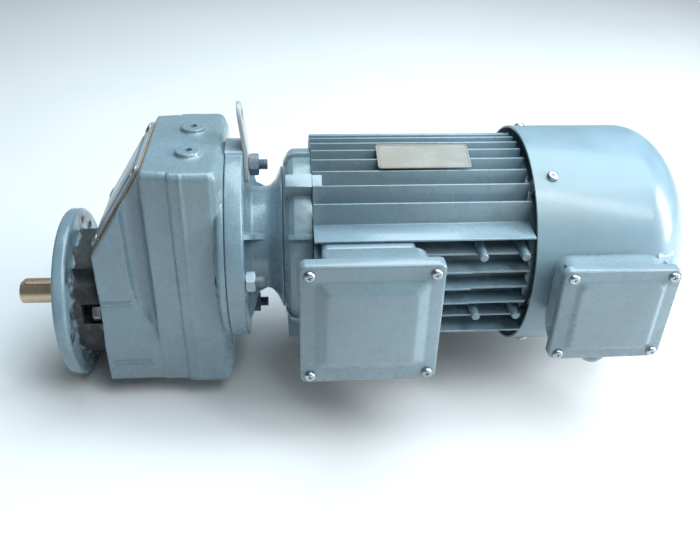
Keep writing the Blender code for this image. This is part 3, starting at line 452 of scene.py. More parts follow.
def metal(name, base, rough, scratch=(1.0, 1.0, 1.0), film=None, depth=0.03, metallic=1.0, fine=700.0, film_at=(0.45, 0.62)):
    mat, t, bsdf = shader(name)
    v = coords(t)
    s = coords(t, scratch)
    slow = noise(t, v, 30.0, 4.0, 0.6)
    streak = noise(t, s, fine, 4.0, 0.6)
    col = ramp(t, streak, [(0.25, tuple(c * 0.72 for c in base)), (0.55, base), (0.8, tuple(min(1.0, c * 1.2) for c in base))])
    if film:
        col = mix(t, span(t, slow, *film_at), col, film)
    # painted shade: concave creases darkened towards near-black
    geo = t.nodes.new("ShaderNodeNewGeometry")
    col = mix(t, span(t, geo.outputs["Pointiness"], 0.42, 0.49), mix(t, 0.7, col, (0.03, 0.028, 0.025)), col)
    link(t, col, bsdf.inputs["Base Color"])
    bsdf.inputs["Metallic"].default_value = metallic
    link(t, span(t, add(t, add(t, slow, 0.5, "MULTIPLY"), add(t, streak, 0.5, "MULTIPLY")), 0.3, 0.7, rough - 0.08, rough + 0.14),
         bsdf.inputs["Roughness"])
    bump(t, bsdf, streak, 0.001 * depth, 1.0)
    return mat


def plastic(name, base, rough, grain=0.05):
    mat, t, bsdf = shader(name)
    v = coords(t)
    n1 = noise(t, v, 40.0, 4.0, 0.5)
    n2 = noise(t, v, 1400.0, 2.0, 0.5)
    link(t, ramp(t, n1, [(0.3, tuple(c * 0.8 for c in base)), (0.7, tuple(c * 1.25 for c in base))]), bsdf.inputs["Base Color"])
    link(t, span(t, n2, 0.3, 0.7, rough - 0.08, rough + 0.08), bsdf.inputs["Roughness"])
    bump(t, bsdf, n2, 0.001 * grain, 1.0)
    return mat


BLUE = (0.170, 0.250, 0.300)
CAST = enamel("enamel_on_rough_casting", BLUE, 0.42, 0.8, 0.24, 0.25, 0.5)
FLANGE = paint_shade_behind_flange(enamel("enamel_on_flange_painted_shade", BLUE, 0.16, 0.5, 0.25, 0.10, 0.45), 0.0118, 0.0372, 0.074)
ALLOY = enamel("enamel_on_cast_alloy", (0.170, 0.240, 0.280), 0.07, 0.25, 0.27, 0.0, 0.45, 1300.0)
FINS = enamel("enamel_on_ribs", (0.160, 0.235, 0.280), 0.10, 0.35, 0.27, 0.0, 0.45, 1100.0)
SHEET = enamel("enamel_on_sheet", (0.185, 0.275, 0.330), 0.035, 0.12, 0.34, 0.0, 0.22, 1600.0)
PLATE_PAINT = enamel("enamel_on_plate", BLUE, 0.10, 0.4, 0.30, 0.5, 0.35)
BARE = metal("bare_steel", (0.66, 0.50, 0.36), 0.36, (26.0, 1.0, 1.0), (0.40, 0.29, 0.17), 0.015, fine=110.0, metallic=0.85, film_at=(0.46, 0.66))
NUTS = metal("overspray_on_zinc", (0.34, 0.39, 0.42), 0.38, (1.0, 1.0, 1.0), (0.13, 0.19, 0.23), 0.02, fine=900.0, metallic=0.6, film_at=(0.42, 0.56))
LUG = enamel("thin_enamel_on_plate", (0.30, 0.35, 0.37), 0.08, 0.3, 0.34, 0.6, 0.3)
GEARS = metal("gear_steel", (0.33, 0.33, 0.34), 0.35, (1.0, 1.0, 6.0), (0.16, 0.13, 0.09), 0.03)
ZINC = metal("zinc_plate", (0.46, 0.49, 0.51), 0.30, (1.0, 1.0, 1.0), (0.22, 0.27, 0.30), 0.02, fine=1500.0, film_at=(0.50, 0.72))
PLATE = metal("plate_metal", (0.28, 0.27, 0.245), 0.52, (0.02, 1.0, 1.0), (0.24, 0.225, 0.19), 0.012, fine=2400.0, metallic=0.25)
WOUND = metal("wound_core", (0.34, 0.20, 0.12), 0.45, (30.0, 1.0, 1.0), (0.20, 0.18, 0.17), 0.05, metallic=0.7)
GASKET = plastic("gasket_sheet", (0.36, 0.23, 0.12), 0.75, 0.06)
SEAL = plastic("seal_rubber", (0.022, 0.022, 0.023), 0.5, 0.03)
BLACK = plastic("black_moulding", (0.035, 0.036, 0.038), 0.48, 0.04)


# ------------------------------------------------------------------ fasteners
def pan_head(name, r_shank, length, r_head, head):
    """Pan-head screw with a cross recess, head above z = 0."""
    dome = [(head * sin(a), r_head * (0.42 + 0.58 * cos(a) ** 0.8)) for a in [k * pi / 2 / 7 for k in range(1, 7)]]
    prof = [(-length, 0), (-length, r_shank), (-0.01, r_shank), (0.0, r_shank), (0.0, r_head)] + dome + [(head, r_head * 0.42), (head, 0)]
    obj = new(name, turned_up(prof, 40))
    for a in (0.35, 0.35 + pi / 2):
        c, s = cos(a), sin(a)
        cut(obj, oriented(loft([[(-r_head * 0.28, -0.22, head * 0.35), (r_head * 0.28, -0.22, head * 0.35), (r_head * 0.28, 0.22, head * 0.35), (-r_head * 0.28, 0.22, head * 0.35)],
                                [(-r_head * 0.62, -0.55, head + 1), (r_head * 0.62, -0.55, head + 1), (r_head * 0.62, 0.55, head + 1), (-r_head * 0.62, 0.55, head + 1)]]),
                          (0, 0, 0), (c, s, 0), (-s, c, 0), (0, 0, 1)))
    return bevel(obj, 0.12, 2, 40)


def hexagon(name, bore, af, z0, z1, both=True):
    """Hexagon with its corners turned off, and a bore if one is given."""
    rh = af / sqrt(3.0)
    obj = new(name, prism(circle(rh, 6), z0, z1, "Z"))
    lens = [(z0 - 0.01, 0), (z0 - 0.01, rh * (0.90 if both else 1.02)), (z0 + rh * 0.13, rh * 1.02), (z1 - rh * 0.13, rh * 1.02), (z1 + 0.01, rh * 0.90), (z1 + 0.01, 0)]
    cut(obj, turned_up(lens, 48), "INTERSECT")
    if bore:
        cut(obj, turned_up([(z0 - 1, 0), (z0 - 1, bore), (z1 + 1, bore), (z1 + 1, 0)], 32))
    return bevel(obj, 0.18, 2, 35)


def thread(name, x0, x1, r, pitch, seg=32):
    """Stud with ridged thread between x0 and x1 along local Z, chamfered end."""
    prof = [(x0, 0), (x0, r)]
    z = x0 + 0.5
    while z < x1 - 1.6:
        prof += [(z, r), (z + pitch * 0.5, r - 0.55 * pitch)]
        z += pitch
    prof += [(x1 - 1.0, r), (x1, r - 1.0), (x1, 0)]
    return new(name, turned_up(prof, seg))


AX = ((0, 1, 0), (0, 0, 1), (1, 0, 0))        # local Z along +X
MX = ((1, 0, 0), (0, 0, 1), (0, -1, 0))       # local Z out of the near side

# ------------------------------------------------------------------ output end
prof = soft([(-3.5, 36.0), (-3.5, 55.0), (0.0, 55.0), (0.0, 80.0), (12.0, 80.0), (12.0, 60.0),
             (36.7, 60.0), (36.7, 20.0), (8.0, 20.0), (8.0, 36.0)],
            [0.4, 0.6, 0.6, 3.2, 3.2, 3.0, 1.0, 0.5, 0.5, 1.0], 5, closed=True)
flange = new("flange_casting", turned(prof, 144, ring=True))
holes, pockets = [], []
for k in range(4):
    a = pi / 4 + k * pi / 2
    c = (65.0 * cos(a), 65.0 * sin(a))
    holes.append(turned([(-1.0, 0), (-1.0, 5.6), (0.05, 5.35), (0.7, 4.75), (11.3, 4.75), (12.0, 5.35), (13.5, 5.6), (13.5, 0)], 36, c))
    pockets.append(cyl(12.05, 42.0, 10.5, 40, c))
pockets.append(cyl(20.0, 42.0, 11.5, 40, (-51.5, 12.0)))
cut(flange, merge(*holes))
cut(flange, merge(*pockets))
bevel(flange, 0.7, 3, 38)
finish(flange, FLANGE, "case_enamel", "output_flange")

shaft = new("shaft_turned", turned(
    [(-50.0, 0), (-50.0, 2.4), (-48.6, 1.6), (-48.6, 1.59), (-50.0, 2.8), (-50.0, 9.4), (-49.85, 9.8), (-48.8, 10.85), (-48.55, 11.0), (3.0, 11.0), (4.5, 15.0),
     (37.5, 15.0), (37.5, 14.6), (57.0, 14.6), (57.0, 18.5), (59.5, 18.5), (59.5, 16.0), (92.0, 16.0),
     (92.0, 12.0), (112.0, 12.0), (112.0, 0)], 72))
cut(shaft, prism(rounded([(-46.3, -3.15), (-5.7, -3.15), (-5.7, 3.15), (-46.3, 3.15)], 3.1, 8), 7.5, 16.0, "Z"))
cut(shaft, turned([(-51.0, 0), (-51.0, 3.4), (-46.0, 0)], 32))
bevel(shaft, 0.15, 2, 40)
finish(shaft, BARE, "bare_steel", "output_shaft", body="output")
key = new("key_fitted", prism(rounded([(-46.0, -3.0), (-6.0, -3.0), (-6.0, 3.0), (-46.0, 3.0)], 2.95, 8), 7.8, 13.8, "Z"))
bevel(key, 0.35, 3, 40)
finish(key, BARE, "bare_steel", "output_key", body="output")
seal = new("seal_lipped", turned(soft([(9.0, 15.3), (9.0, 19.7), (16.0, 19.7), (16.0, 15.3), (13.5, 15.5), (11.5, 12.9), (10.6, 12.9), (11.0, 15.5)],
                                     [0.4, 0.4, 0.4, 0.4, 0.3, 0.2, 0.2, 0.3], 3, closed=True), 72, ring=True))
finish(seal, SEAL, "seal_rubber", "output_oil_seal")


# ------------------------------------------------------------------ gear case
def case_ring(x, top, w_top, w_mid, w_bot, bottom, r_top, r_bot, z_mid=62.0, steps=8):
    pts = [(-w_bot, bottom), (w_bot, bottom), (w_mid, z_mid), (w_top, top), (-w_top, top), (-w_mid, z_mid)]
    out = rounded(pts, [r_bot, r_bot, 0, r_top, r_top, 0], steps)
    return [(x, y, z) for y, z in out]


def nose_outer(x):
    f = (x - 37.0) / 52.0
    top = 74.0 + 81.0 * f
    pts = [(-66.0, -61.5), (66.0, -61.5), (65.4, -18.0), (61.0, 0.0), (58.5, 16.0), (56.5, top),
           (-56.5, top), (-58.5, 16.0), (-61.0, 0.0), (-65.4, -18.0)]
    return [(x, y, z) for y, z in rounded(pts, [8.0, 8.0, 8.0, 14.0, 10.0, 3.0, 3.0, 10.0, 14.0, 8.0], 5)]


case = new("case_casting", loft([
    case_ring(86.0, 150.1, 60.6, 63.9, 65.0, -61.5, 6.5, 7.0),
    case_ring(87.2, 152.0, 61.8, 65.0, 66.1, -61.5, 6.5, 7.0),
    case_ring(89.2, 155.0, 62.5, 66.0, 66.5, -61.5, 6.5, 7.0),
    case_ring(108.4, 155.0, 65.0, 68.4, 67.0, -61.5, 6.5, 7.0),
    case_ring(108.8, 155.0, 64.2, 67.6, 66.2, -60.9, 6.5, 7.0),
    case_ring(110.4, 155.0, 64.2, 67.6, 66.2, -60.9, 6.5, 7.0),
    case_ring(110.9, 155.0, 66.6, 70.4, 68.3, -62.7, 6.5, 7.0),
    case_ring(119.0, 155.0, 67.5, 71.5, 69.5, -62.7, 6.5, 7.0),
    case_ring(120.5, 155.0, 68.3, 72.4, 70.3, -62.7, 6.5, 7.0),
    case_ring(122.0, 155.0, 67.5, 71.5, 69.5, -62.7, 6.5, 7.0),
    case_ring(144.0, 155.0, 67.5, 71.5, 69.5, -62.7, 6.5, 7.0),
    case_ring(148.0, 154.6, 65.5, 69.5, 67.5, -60.0, 6.5, 7.0),
    case_ring(150.5, 153.0, 62.5, 66.5, 64.5, -55.5, 8.0, 6.0),
    case_ring(153.5, 147.0, 58.0, 64.0, 60.0, -37.5, 7.0, 6.0)]))
cut(case, loft([nose_outer(37.0), nose_outer(50.0), nose_outer(88.5)]), "UNION")
rear = turned([(142.0, 0), (142.0, 68.0), (146.0, 87.0), (147.6, 91.0), (149.0, 91.5), (153.5, 91.5), (153.5, 0)], 96, AXIS)
cut(case, rear, "UNION")
cut(case, merge(*[
    oriented(turned_up([(151.0, 0), (151.0, 12.6), (155.6, 11.4), (158.0, 11.0), (158.5, 10.4), (158.5, 0)], 48), (124.5, y, 0.0), (1, 0, 0), (0, 1, 0), (0, 0, 1))
    for y in (-25.5, 25.5)]), "UNION")
# hollows beside the nose, which fade out low down
cut(case, merge(*[loft([
    [(x, y, z) for x, y in circle(r, 48, (cx, s * cy))] for z, r, cx, cy in
    ((-6.0, 1.0, 83.4, 66.0), (-2.0, 3.2, 82.2, 66.0), (4.0, 5.6, 80.8, 65.6), (10.0, 7.4, 79.6, 65.0), (18.0, 9.0, 78.4, 64.4), (28.0, 10.4, 77.2, 63.8),
     (44.0, 11.4, 76.4, 63.2), (118.0, 12.0, 75.6, 62.5), (153.0, 12.0, 75.6, 62.5))]) for s in (-1, 1)]))
# raised casting lines along the nose's flanks
webs = []
for s in (-1, 1):
    for zc, x0, x1, y in ((-36.5, 44.0, 80.0, 67.4), (24.5, 38.5, 66.0, 60.2)):
        webs.append(loft([[(x0, s * (y - 6.0), zc - 2.6), (x0, s * (y - 6.0), zc + 2.6), (x0, s * (y + 0.55), zc + 0.7), (x0, s * (y + 0.55), zc - 0.7)],
                          [(x1, s * (y - 6.0), zc - 2.6), (x1, s * (y - 6.0), zc + 2.6), (x1, s * (y + 0.55), zc + 0.7), (x1, s * (y + 0.55), zc - 0.7)]]))
cut(case, merge(*webs), "UNION")
# a groove under each line
cut(case, merge(*[box(46.0, 78.0, min(s * 64.9, s * 70.0), max(s * 64.9, s * 70.0), -42.0, -39.6) for s in (-1, 1)]))
cut(case, cyl(35.0, 62.0, 31.0, 72, OUT))
cast(case, 1.1, 2, 0.5)
cut(case, merge(*[oriented(turned_up([(151.5, 0), (151.5, 3.2), (158.0, 3.3), (159.5, 3.9), (159.5, 0)], 32), (124.5, y, 0.0), (1, 0, 0), (0, 1, 0), (0, 0, 1)) for y in (-25.5, 25.5)]))
# machined faces stay crisp: seat of the inspection cover
SLOPE = Vector((52.0, 0.0, 81.0))
SLOPE_L = SLOPE.length
EX = SLOPE.normalized()
EZ = Vector((-EX.z, 0.0, EX.x))
EY = EZ.cross(EX)
SO = Vector((37.0, 0.0, 74.0))


def on_slope(outline, h0, h1):
    return oriented(prism(outline, h0, h1, "Z"), SO, EX, EY, EZ)


def plate_outline(m_, r, steps=8):
    return rounded([(m_, -53.0 + m_), (SLOPE_L - m_, -53.0 + m_), (SLOPE_L - m_, 53.0 - m_), (m_, 53.0 - m_)], r, steps)


finish(case, CAST, "case_enamel", "gear_housing", angle=60.0)

screw_at = [(9.5, -43.5), (SLOPE_L - 9.5, -43.5), (9.5, 43.5), (SLOPE_L - 9.5, 43.5)]
gasket = new("gasket_cut", on_slope(plate_outline(2.0, 7.0), 0.3, 1.35))
bevel(gasket, 0.2, 2, 40)
finish(gasket, GASKET, "gasket_sheet", "inspection_gasket")
cover = new("cover_pressed", on_slope(plate_outline(2.5, 7.0), 1.6, 3.0))
cut(cover, oriented(loft([[(x, y, 2.4) for x, y in plate_outline(12.5, 5.0)], [(x, y, 3.2) for x, y in plate_outline(13.0, 5.0)],
                          [(x, y, 4.2) for x, y in plate_outline(15.0, 4.5)]]), SO, EX, EY, EZ), "UNION")
bevel(cover, 0.35, 3, 30)
finish(cover, PLATE_PAINT, "case_enamel", "inspection_cover")
cs = pan_head("cs", 3.0, 12.0, 5.4, 1.4)
for n, (u, v) in enumerate(screw_at, 1):
    s = placed("cover_screw_%d" % n, cs, SO + EX * u + EY * v + EZ * 3.02, EX, EY, EZ)
    finish(s, ZINC, "zinc_steel", "inspection_screw_%d" % n)
drop(cs)

hexa = hexagon("hexa", 0, 16.0, 0.0, 7.0, False)
plug = placed("plug_head", hexa, (36.7, -51.5, 12.0), (0, 1, 0), (0, 0, -1), (-1, 0, 0))
drop(hexa)
cut(plug, cyl(36.5, 46.5, 4.3, 24, (-51.5, 12.0)), "UNION")
finish(plug, ZINC, "zinc_steel", "oil_level_plug")

# ------------------------------------------------------------------ adapter
prof = soft([(153.8, 30.0), (153.8, 92.4), (169.0, 92.4), (169.0, 54.0), (174.0, 48.0), (190.0, 48.0),
             (196.0, 55.0), (202.7, 70.0), (202.7, 34.0), (160.0, 34.0), (160.0, 30.0)],
            [1.0, 1.4, 1.6, 6.0, 5.0, 8.0, 8.0, 1.0, 1.0, 1.0, 1.0], 6, closed=True)
adapter = new("adapter_casting", turned(prof, 144, AXIS, ring=True))
cut(adapter, prism(rounded([(-17.0, DROP + 70.0), (17.0, DROP + 70.0), (14.0, DROP + 94.0), (-14.0, DROP + 94.0)], [0, 0, 4, 4], 6),
                   153.8, 169.2, "X"), "UNION")
cut(adapter, merge(*[cyl(152.0, 172.0, 5.4, 28, (75.2 * cos(k * pi / 2), DROP + 75.2 * sin(k * pi / 2))) for k in range(4)]))
ribs = []
for k in range(4):
    a = pi / 4 + k * pi / 2 + 0.25
    ribs.append(oriented(prism([(168.0, 50.0), (168.0, 78.0), (172.0, 74.0), (178.0, 52.0), (189.0, 46.5), (189.0, 44.0), (170.0, 44.0)], -2.2, 2.2, "Z"),
                         (0, 0, DROP), (1, 0, 0), (0, cos(a), sin(a)), (0, -sin(a), cos(a))))
cut(adapter, merge(*ribs), "UNION")
bevel(adapter, 0.9, 3, 35)
finish(adapter, CAST, "case_enamel", "motor_adapter", angle=40.0)

nut = hexagon("nut", 5.25, 17.0, 0.0, 8.3)
stud = thread("stud", 0.0, 42.6, 4.9, 1.5)
stud2 = thread("stud2", 0.0, 46.9, 4.9, 1.5)
for k, side in enumerate(("far", "top", "near", "bottom")):
    c = (75.2 * cos(k * pi / 2), DROP + 75.2 * sin(k * pi / 2))
    seat = 169.3 + (4.3 if side == "top" else 0.0)
    a = (0.0 if k % 2 else pi / 6)
    s = placed("stud_" + side, stud2 if side == "top" else stud, (143.0, c[0], c[1]), *AX)
    finish(s, NUTS, "zinc_steel", "adapter_stud_" + side)
    s = placed("nut_" + side, nut, (seat + 0.3, c[0], c[1]), (0, cos(a), sin(a)), (0, -sin(a), cos(a)), (1, 0, 0))
    finish(s, NUTS, "zinc_steel", "adapter_nut_" + side)
for o in (nut, stud, stud2):
    drop(o)

# lifting plate, folded a little forward above the nut
lug_profile = rounded([(-13.0, DROP + 62.0), (13.0, DROP + 62.0), (13.0, DROP + 133.0), (-13.0, DROP + 133.0)],
                      [5.0, 5.0, 12.5, 12.5], 12)
lug = new("lug_plate", prism(lug_profile, 169.5, 173.3, "X"))
cut(lug, cyl(165.0, 177.0, 5.3, 36, (0.0, DROP + 75.2)))
cut(lug, cyl(150.0, 180.0, 6.5, 48, (0.0, DROP + 120.0)))
bevel(lug, 0.6, 3, 40)
bm = bmesh.new()
bm.from_mesh(lug.data)
for z in (88.0, 89.5, 91.0, 92.5, 94.0, 95.5):
    geom = bm.verts[:] + bm.edges[:] + bm.faces[:]
    bmesh.ops.bisect_plane(bm, geom=geom, plane_co=(0, 0, (DROP + z) * 0.001), plane_no=(0, 0, 1))
for v in bm.verts:
    z = v.co.z * 1000.0 - DROP
    t = max(0.0, min(1.0, (z - 88.0) / 8.0))
    v.co.x -= 0.001 * 0.11 * (0.5 * t * t * 8.0 + max(0.0, z - 96.0))
bm.to_mesh(lug.data)
bm.free()
finish(lug, LUG, "steel_enamel", "lifting_plate")

# ------------------------------------------------------------------ motor
EARS = [radians(a) for a in (0.0, 120.0, 240.0)]
prof = soft([(203.0, 26.0), (203.0, 71.0), (208.0, 80.0), (212.0, 82.5), (227.7, 82.5), (227.7, 76.0), (214.0, 60.0),
             (214.0, 31.5), (224.0, 31.5), (224.0, 26.0)], [1, 2.5, 4, 3, 0.8, 0.5, 1, 1, 1, 1], 5, closed=True)
shield = new("shield_casting", turned(prof, 120, AXIS, ring=True))
cut(shield, merge(*[
    oriented(loft([[(204.5, -6.5, 70.0), (227.5, -7.5, 70.0), (227.5, 7.5, 70.0), (204.5, 6.5, 70.0)],
                   [(205.5, -5.8, 95.4), (227.5, -6.4, 95.4), (227.5, 6.4, 95.4), (205.5, 5.8, 95.4)]]), (0, 0, DROP),
             (1, 0, 0), (0, sin(a), -cos(a)), (0, cos(a), sin(a))) for a in EARS]), "UNION")
ribs = []
for k in range(6):
    a = radians(30 + 60 * k)
    ribs.append(oriented(prism([(204.0, 60.0), (204.0, 76.0), (207.0, 84.0), (214.0, 86.2), (227.3, 86.2), (227.3, 78.0), (216.0, 60.0)], -2.0, 2.0, "Z"),
                         (0, 0, DROP), (1, 0, 0), (0, cos(a), sin(a)), (0, -sin(a), cos(a))))
cut(shield, merge(*ribs), "UNION")
bevel(shield, 0.9, 3, 32)
finish(shield, ALLOY, "alloy_enamel", "drive_end_shield", angle=40.0)

FIN_R, FRAME_R = 95.0, 79.0


def frame_outline():
    pts, kinds = [], []

    def fin(quad):
        for p, kd in zip(quad, (1.2, 0.75, 0.75, 1.2)):
            pts.append(p)
            kinds.append(kd)
    half = 1.5

    def root(t):
        return sqrt(max(0.0, FRAME_R ** 2 - t * t))
    level = [-48.0, -32.0, -16.0, 0.0, 16.0, 32.0, 48.0]
    upright = [-52.0, -39.0, -26.0, -13.0, 0.0, 13.0, 26.0, 39.0, 52.0]
    corner = ((67.1, 50.1), (66.0, 69.3), (64.0, 69.3), (62.9, 50.1))

    def point(y, z, r):
        pts.append((y, z))
        kinds.append(r)
    for z in level:
        tip = sqrt(FIN_R ** 2 - z * z) if abs(z) < 40 else 92.0
        if z == -48.0:
            for (y, h), r in zip(reversed(corner), (1.2, 0.75, 0.75, 1.2)):
                point(y, -h, r)
            point(tip, z - half + 0.5, 0.75)
            point(tip, z + half - 0.5, 0.75)
            point(root(z + half + 0.6), z + half + 0.6, 1.2)
        elif z == 48.0:
            point(root(z - half - 0.6), z - half - 0.6, 1.2)
            point(tip, z - half + 0.5, 0.75)
            point(tip, z + half - 0.5, 0.75)
            for (y, h), r in zip(corner, (1.2, 0.75, 0.75, 1.2)):
                point(y, h, r)
        else:
            fin(((root(z - half - 0.6), z - half - 0.6), (tip, z - half + 0.5), (tip, z + half - 0.5), (root(z + half + 0.6), z + half + 0.6)))
    for y in reversed(upright):
        tip = sqrt(FIN_R ** 2 - y * y)
        fin(((y + half + 0.6, root(y + half + 0.6)), (y + half - 0.5, tip), (y - half + 0.5, tip), (y - half - 0.6, root(y - half - 0.6))))
    for z in reversed(level):
        tip = sqrt(FIN_R ** 2 - z * z) if abs(z) < 40 else 92.0
        if z == 48.0:
            for (y, h), r in zip(reversed(corner), (1.2, 0.75, 0.75, 1.2)):
                point(-y, h, r)
            point(-tip, z + half - 0.5, 0.75)
            point(-tip, z - half + 0.5, 0.75)
            point(-root(z - half - 0.6), z - half - 0.6, 1.2)
        elif z == -48.0:
            point(-root(z + half + 0.6), z + half + 0.6, 1.2)
            point(-tip, z + half - 0.5, 0.75)
            point(-tip, z - half + 0.5, 0.75)
            for (y, h), r in zip(corner, (1.2, 0.75, 0.75, 1.2)):
                point(-y, -h, r)
        else:
            fin(((-root(z + half + 0.6), z + half + 0.6), (-tip, z + half - 0.5), (-tip, z - half + 0.5), (-root(z - half - 0.6), z - half - 0.6)))
    for y in upright:
        tip = sqrt(FIN_R ** 2 - y * y)
        fin(((y - half - 0.6, -root(y - half - 0.6)), (y - half + 0.5, -tip), (y + half - 0.5, -tip), (y + half + 0.6, -root(y + half + 0.6))))
    out = soft(pts, kinds, 3, closed=True)
    return [(y, DROP + z) for y, z in out]


ribbed = new("ribbed_casting", prism(frame_outline(), 228.0, 414.0, "X"))
bevel(ribbed, 0.35, 2, 60)
# side ribs are turned down a little towards the fan end
cut(ribbed, merge(box(363.0, 416.0, -110.0, -92.2, DROP - 62.0, DROP + 62.0), box(363.0, 416.0, 92.2, 110.0, DROP - 62.0, DROP + 62.0)))
cut(ribbed, merge(*[
    oriented(loft([[(228.0, -7.5, 72.0), (237.0, -7.5, 72.0), (237.0, 7.5, 72.0), (228.0, 7.5, 72.0)],
                   [(228.0, -6.4, 93.8), (236.0, -6.4, 93.8), (236.0, 6.4, 93.8), (228.0, 6.4, 93.8)]]), (0, 0, DROP),
             (1, 0, 0), (0, sin(a), -cos(a)), (0, cos(a), sin(a))) for a in EARS]), "UNION")
pad = new("pad", box(234.0, 312.0, -100.9, -60.0, DROP - 32.0, DROP + 46.0))
bevel(pad, 5.0, 5, 40)
me = pad.data
cut(ribbed, ([tuple(v.co * 1000.0) for v in me.vertices], [tuple(p.vertices) for p in me.polygons]), "UNION")
drop(pad)
posts = [oriented(turned_up(soft([(-24.0, 0), (-24.0, 4.6), (-5.0, 4.0), (0.0, 3.7), (0.0, 0)],
                                 [0, 0, 1.0, 1.1, 0], 4), 32), (x, -98.5, DROP + z), *MX)
         for x, z in ((370.0, 33.5), (406.0, 33.5), (370.0, -27.5), (406.0, -27.5))]
cut(ribbed, merge(*posts), "UNION")
cut(ribbed, cyl(226.0, 416.0, 72.0, 96, AXIS))
finish(ribbed, FINS, "alloy_enamel", "motor_frame", angle=28.0)

SA = [radians(a) for a in (122.0, 58.0, 238.0, 302.0)]
prof = soft([(414.3, 14.0), (414.3, 78.5), (420.0, 80.0), (426.5, 76.0), (426.5, 38.0), (432.0, 34.0), (432.0, 14.0)], [0.5, 1.0, 2.5, 2.5, 3, 2, 0.8], 5, closed=True)
endshield = new("fan_end_casting", turned(prof, 96, AXIS, ring=True))
cut(endshield, merge(*[
    oriented(box(419.0, 438.0, -6.0, 6.0, 70.0, 96.0), (0, 0, DROP),
             (1, 0, 0), (0, sin(a), -cos(a)), (0, cos(a), sin(a))) for a in SA]), "UNION")
cut(endshield, cyl(413.0, 421.0, 26.0, 48, AXIS))
bevel(endshield, 0.4, 2, 40)
finish(endshield, ALLOY, "alloy_enamel")

# nameplate: blank, with its rim pressed and four rivets
A = radians(104.5)
PN, PT = (0.0, cos(A), sin(A)), (0.0, -sin(A), cos(A))
PO = (0.0, PN[1] * 95.5, DROP + PN[2] * 95.5)
PX = ((1, 0, 0), tuple(-c for c in PT), PN)
plate = new("plate_blank", oriented(prism(rounded([(284.5, -16.0), (365.5, -16.0), (365.5, 16.0), (284.5, 16.0)], 3.0, 8), 0.0, 0.7, "Z"), PO, *PX))
bevel(plate, 0.15, 2, 40)
rim_o = rounded([(284.9, -15.6), (365.1, -15.6), (365.1, 15.6), (284.9, 15.6)], 2.7, 8)
rim_i = rounded([(285.7, -14.8), (364.3, -14.8), (364.3, 14.8), (285.7, 14.8)], 2.0, 8)
n = len(rim_o)
rv = [(x, y, 0.6) for x, y in rim_o] + [(x, y, 0.95) for x, y in rim_o] + [(x, y, 0.95) for x, y in rim_i] + [(x, y, 0.6) for x, y in rim_i]
rf = []
for i in range(4):
    j = (i + 1) % 4
    for k in range(n):
        q = (k + 1) % n
        rf.append((i * n + k, i * n + q, j * n + q, j * n + k))
cut(plate, oriented((rv, rf), PO, *PX), "UNION")
rivets = [oriented(turned_up([(0.3, 0), (0.3, 1.5), (0.75, 1.45), (0.92, 1.1), (0.99, 0.5), (0.99, 0)], 24), (0, 0, 0), (1, 0, 0), (0, 1, 0), (0, 0, 1))]
pins = []
for x, y in ((288.5, -12.2), (361.5, -12.2), (288.5, 12.2), (361.5, 12.2)):
    vs, fs = rivets[0]
    pins.append(([(v[0] + x, v[1] + y, v[2]) for v in vs], fs))
cut(plate, oriented(merge(*pins), PO, *PX), "UNION")
finish(plate, PLATE, "plate_metal", "nameplate")


# ------------------------------------------------------------------ terminal boxes
def ring_of(w, h, r, d, steps=8):
    return [(x, y, d) for x, y in rounded([(-w, -h), (w, -h), (w, h), (-w, h)], r, steps)]


bx, bz = 270.5, 61.5
bw, bh = 56.5, 57.5
BO = (bx, -154.5, bz)
tb = new("box_cover_pressed", oriented(loft([
    ring_of(bw - 0.5, bh - 0.5, 5.2, -17.0), ring_of(bw, bh, 5.6, -16.3), ring_of(bw, bh, 5.6, -8.2), ring_of(bw - 0.35, bh - 0.35, 5.4, -7.0),
    ring_of(bw - 1.2, bh - 1.2, 5.0, -6.0), ring_of(bw - 2.4, bh - 2.4, 4.6, -5.6),
    ring_of(bw - 10.6, bh - 13.4, 6.0, -5.5), ring_of(bw - 12.0, bh - 15.0, 6.0, -5.2), ring_of(bw - 13.2, bh - 16.2, 6.0, -4.4),
    ring_of(bw - 19.6, bh - 22.6, 5.4, -0.75), ring_of(bw - 20.8, bh - 23.8, 5.0, -0.2), ring_of(bw - 22.4, bh - 25.4, 4.6, 0.0)]), BO, *MX))
TBS = [(sx * (bw - 8.0), sy * (bh - 8.5)) for sx in (-1, 1) for sy in (-1, 1)]
cut(tb, merge(*[oriented(turned_up([(-20.0, 0), (-20.0, 2.8), (-6.3, 2.8), (-5.3, 4.0), (3.0, 4.2), (3.0, 0)], 32), (BO[0] + c[0], BO[1], BO[2] + c[1]), *MX) for c in TBS]))
cut(tb, merge(*[oriented(loft([ring_of(bw - 7.0, bh - 20.0, 4.0, -18.0), ring_of(bw - 20.0, bh - 22.0, 4.0, -9.0)]), BO, *MX)]))
finish(tb, ALLOY, "alloy_enamel", "terminal_box_cover", angle=24.0)
depth = 154.5 - 101.3
BASE_TOP = -17.3
tbb = new("box_base_casting", oriented(loft([
    ring_of(bw - 3.6, bh - 3.6, 5.4, BASE_TOP - 3.0), ring_of(bw - 3.0, bh - 3.0, 5.8, BASE_TOP - 2.4), ring_of(bw - 2.0, bh - 2.0, 5.8, BASE_TOP - 0.5),
    ring_of(bw - 2.4, bh - 2.4, 5.4, BASE_TOP)]), BO, *MX))


def body_of(m_, d):
    return [(x, y, d) for x, y in rounded([(-37.5 + m_, -47.5 + m_), (51.0 - m_, -47.5 + m_), (51.0 - m_, 44.5 - m_),
                                           (-37.5 + m_, 44.5 - m_)], [8.0, 8.0, 13.0, 4.0], 10)]


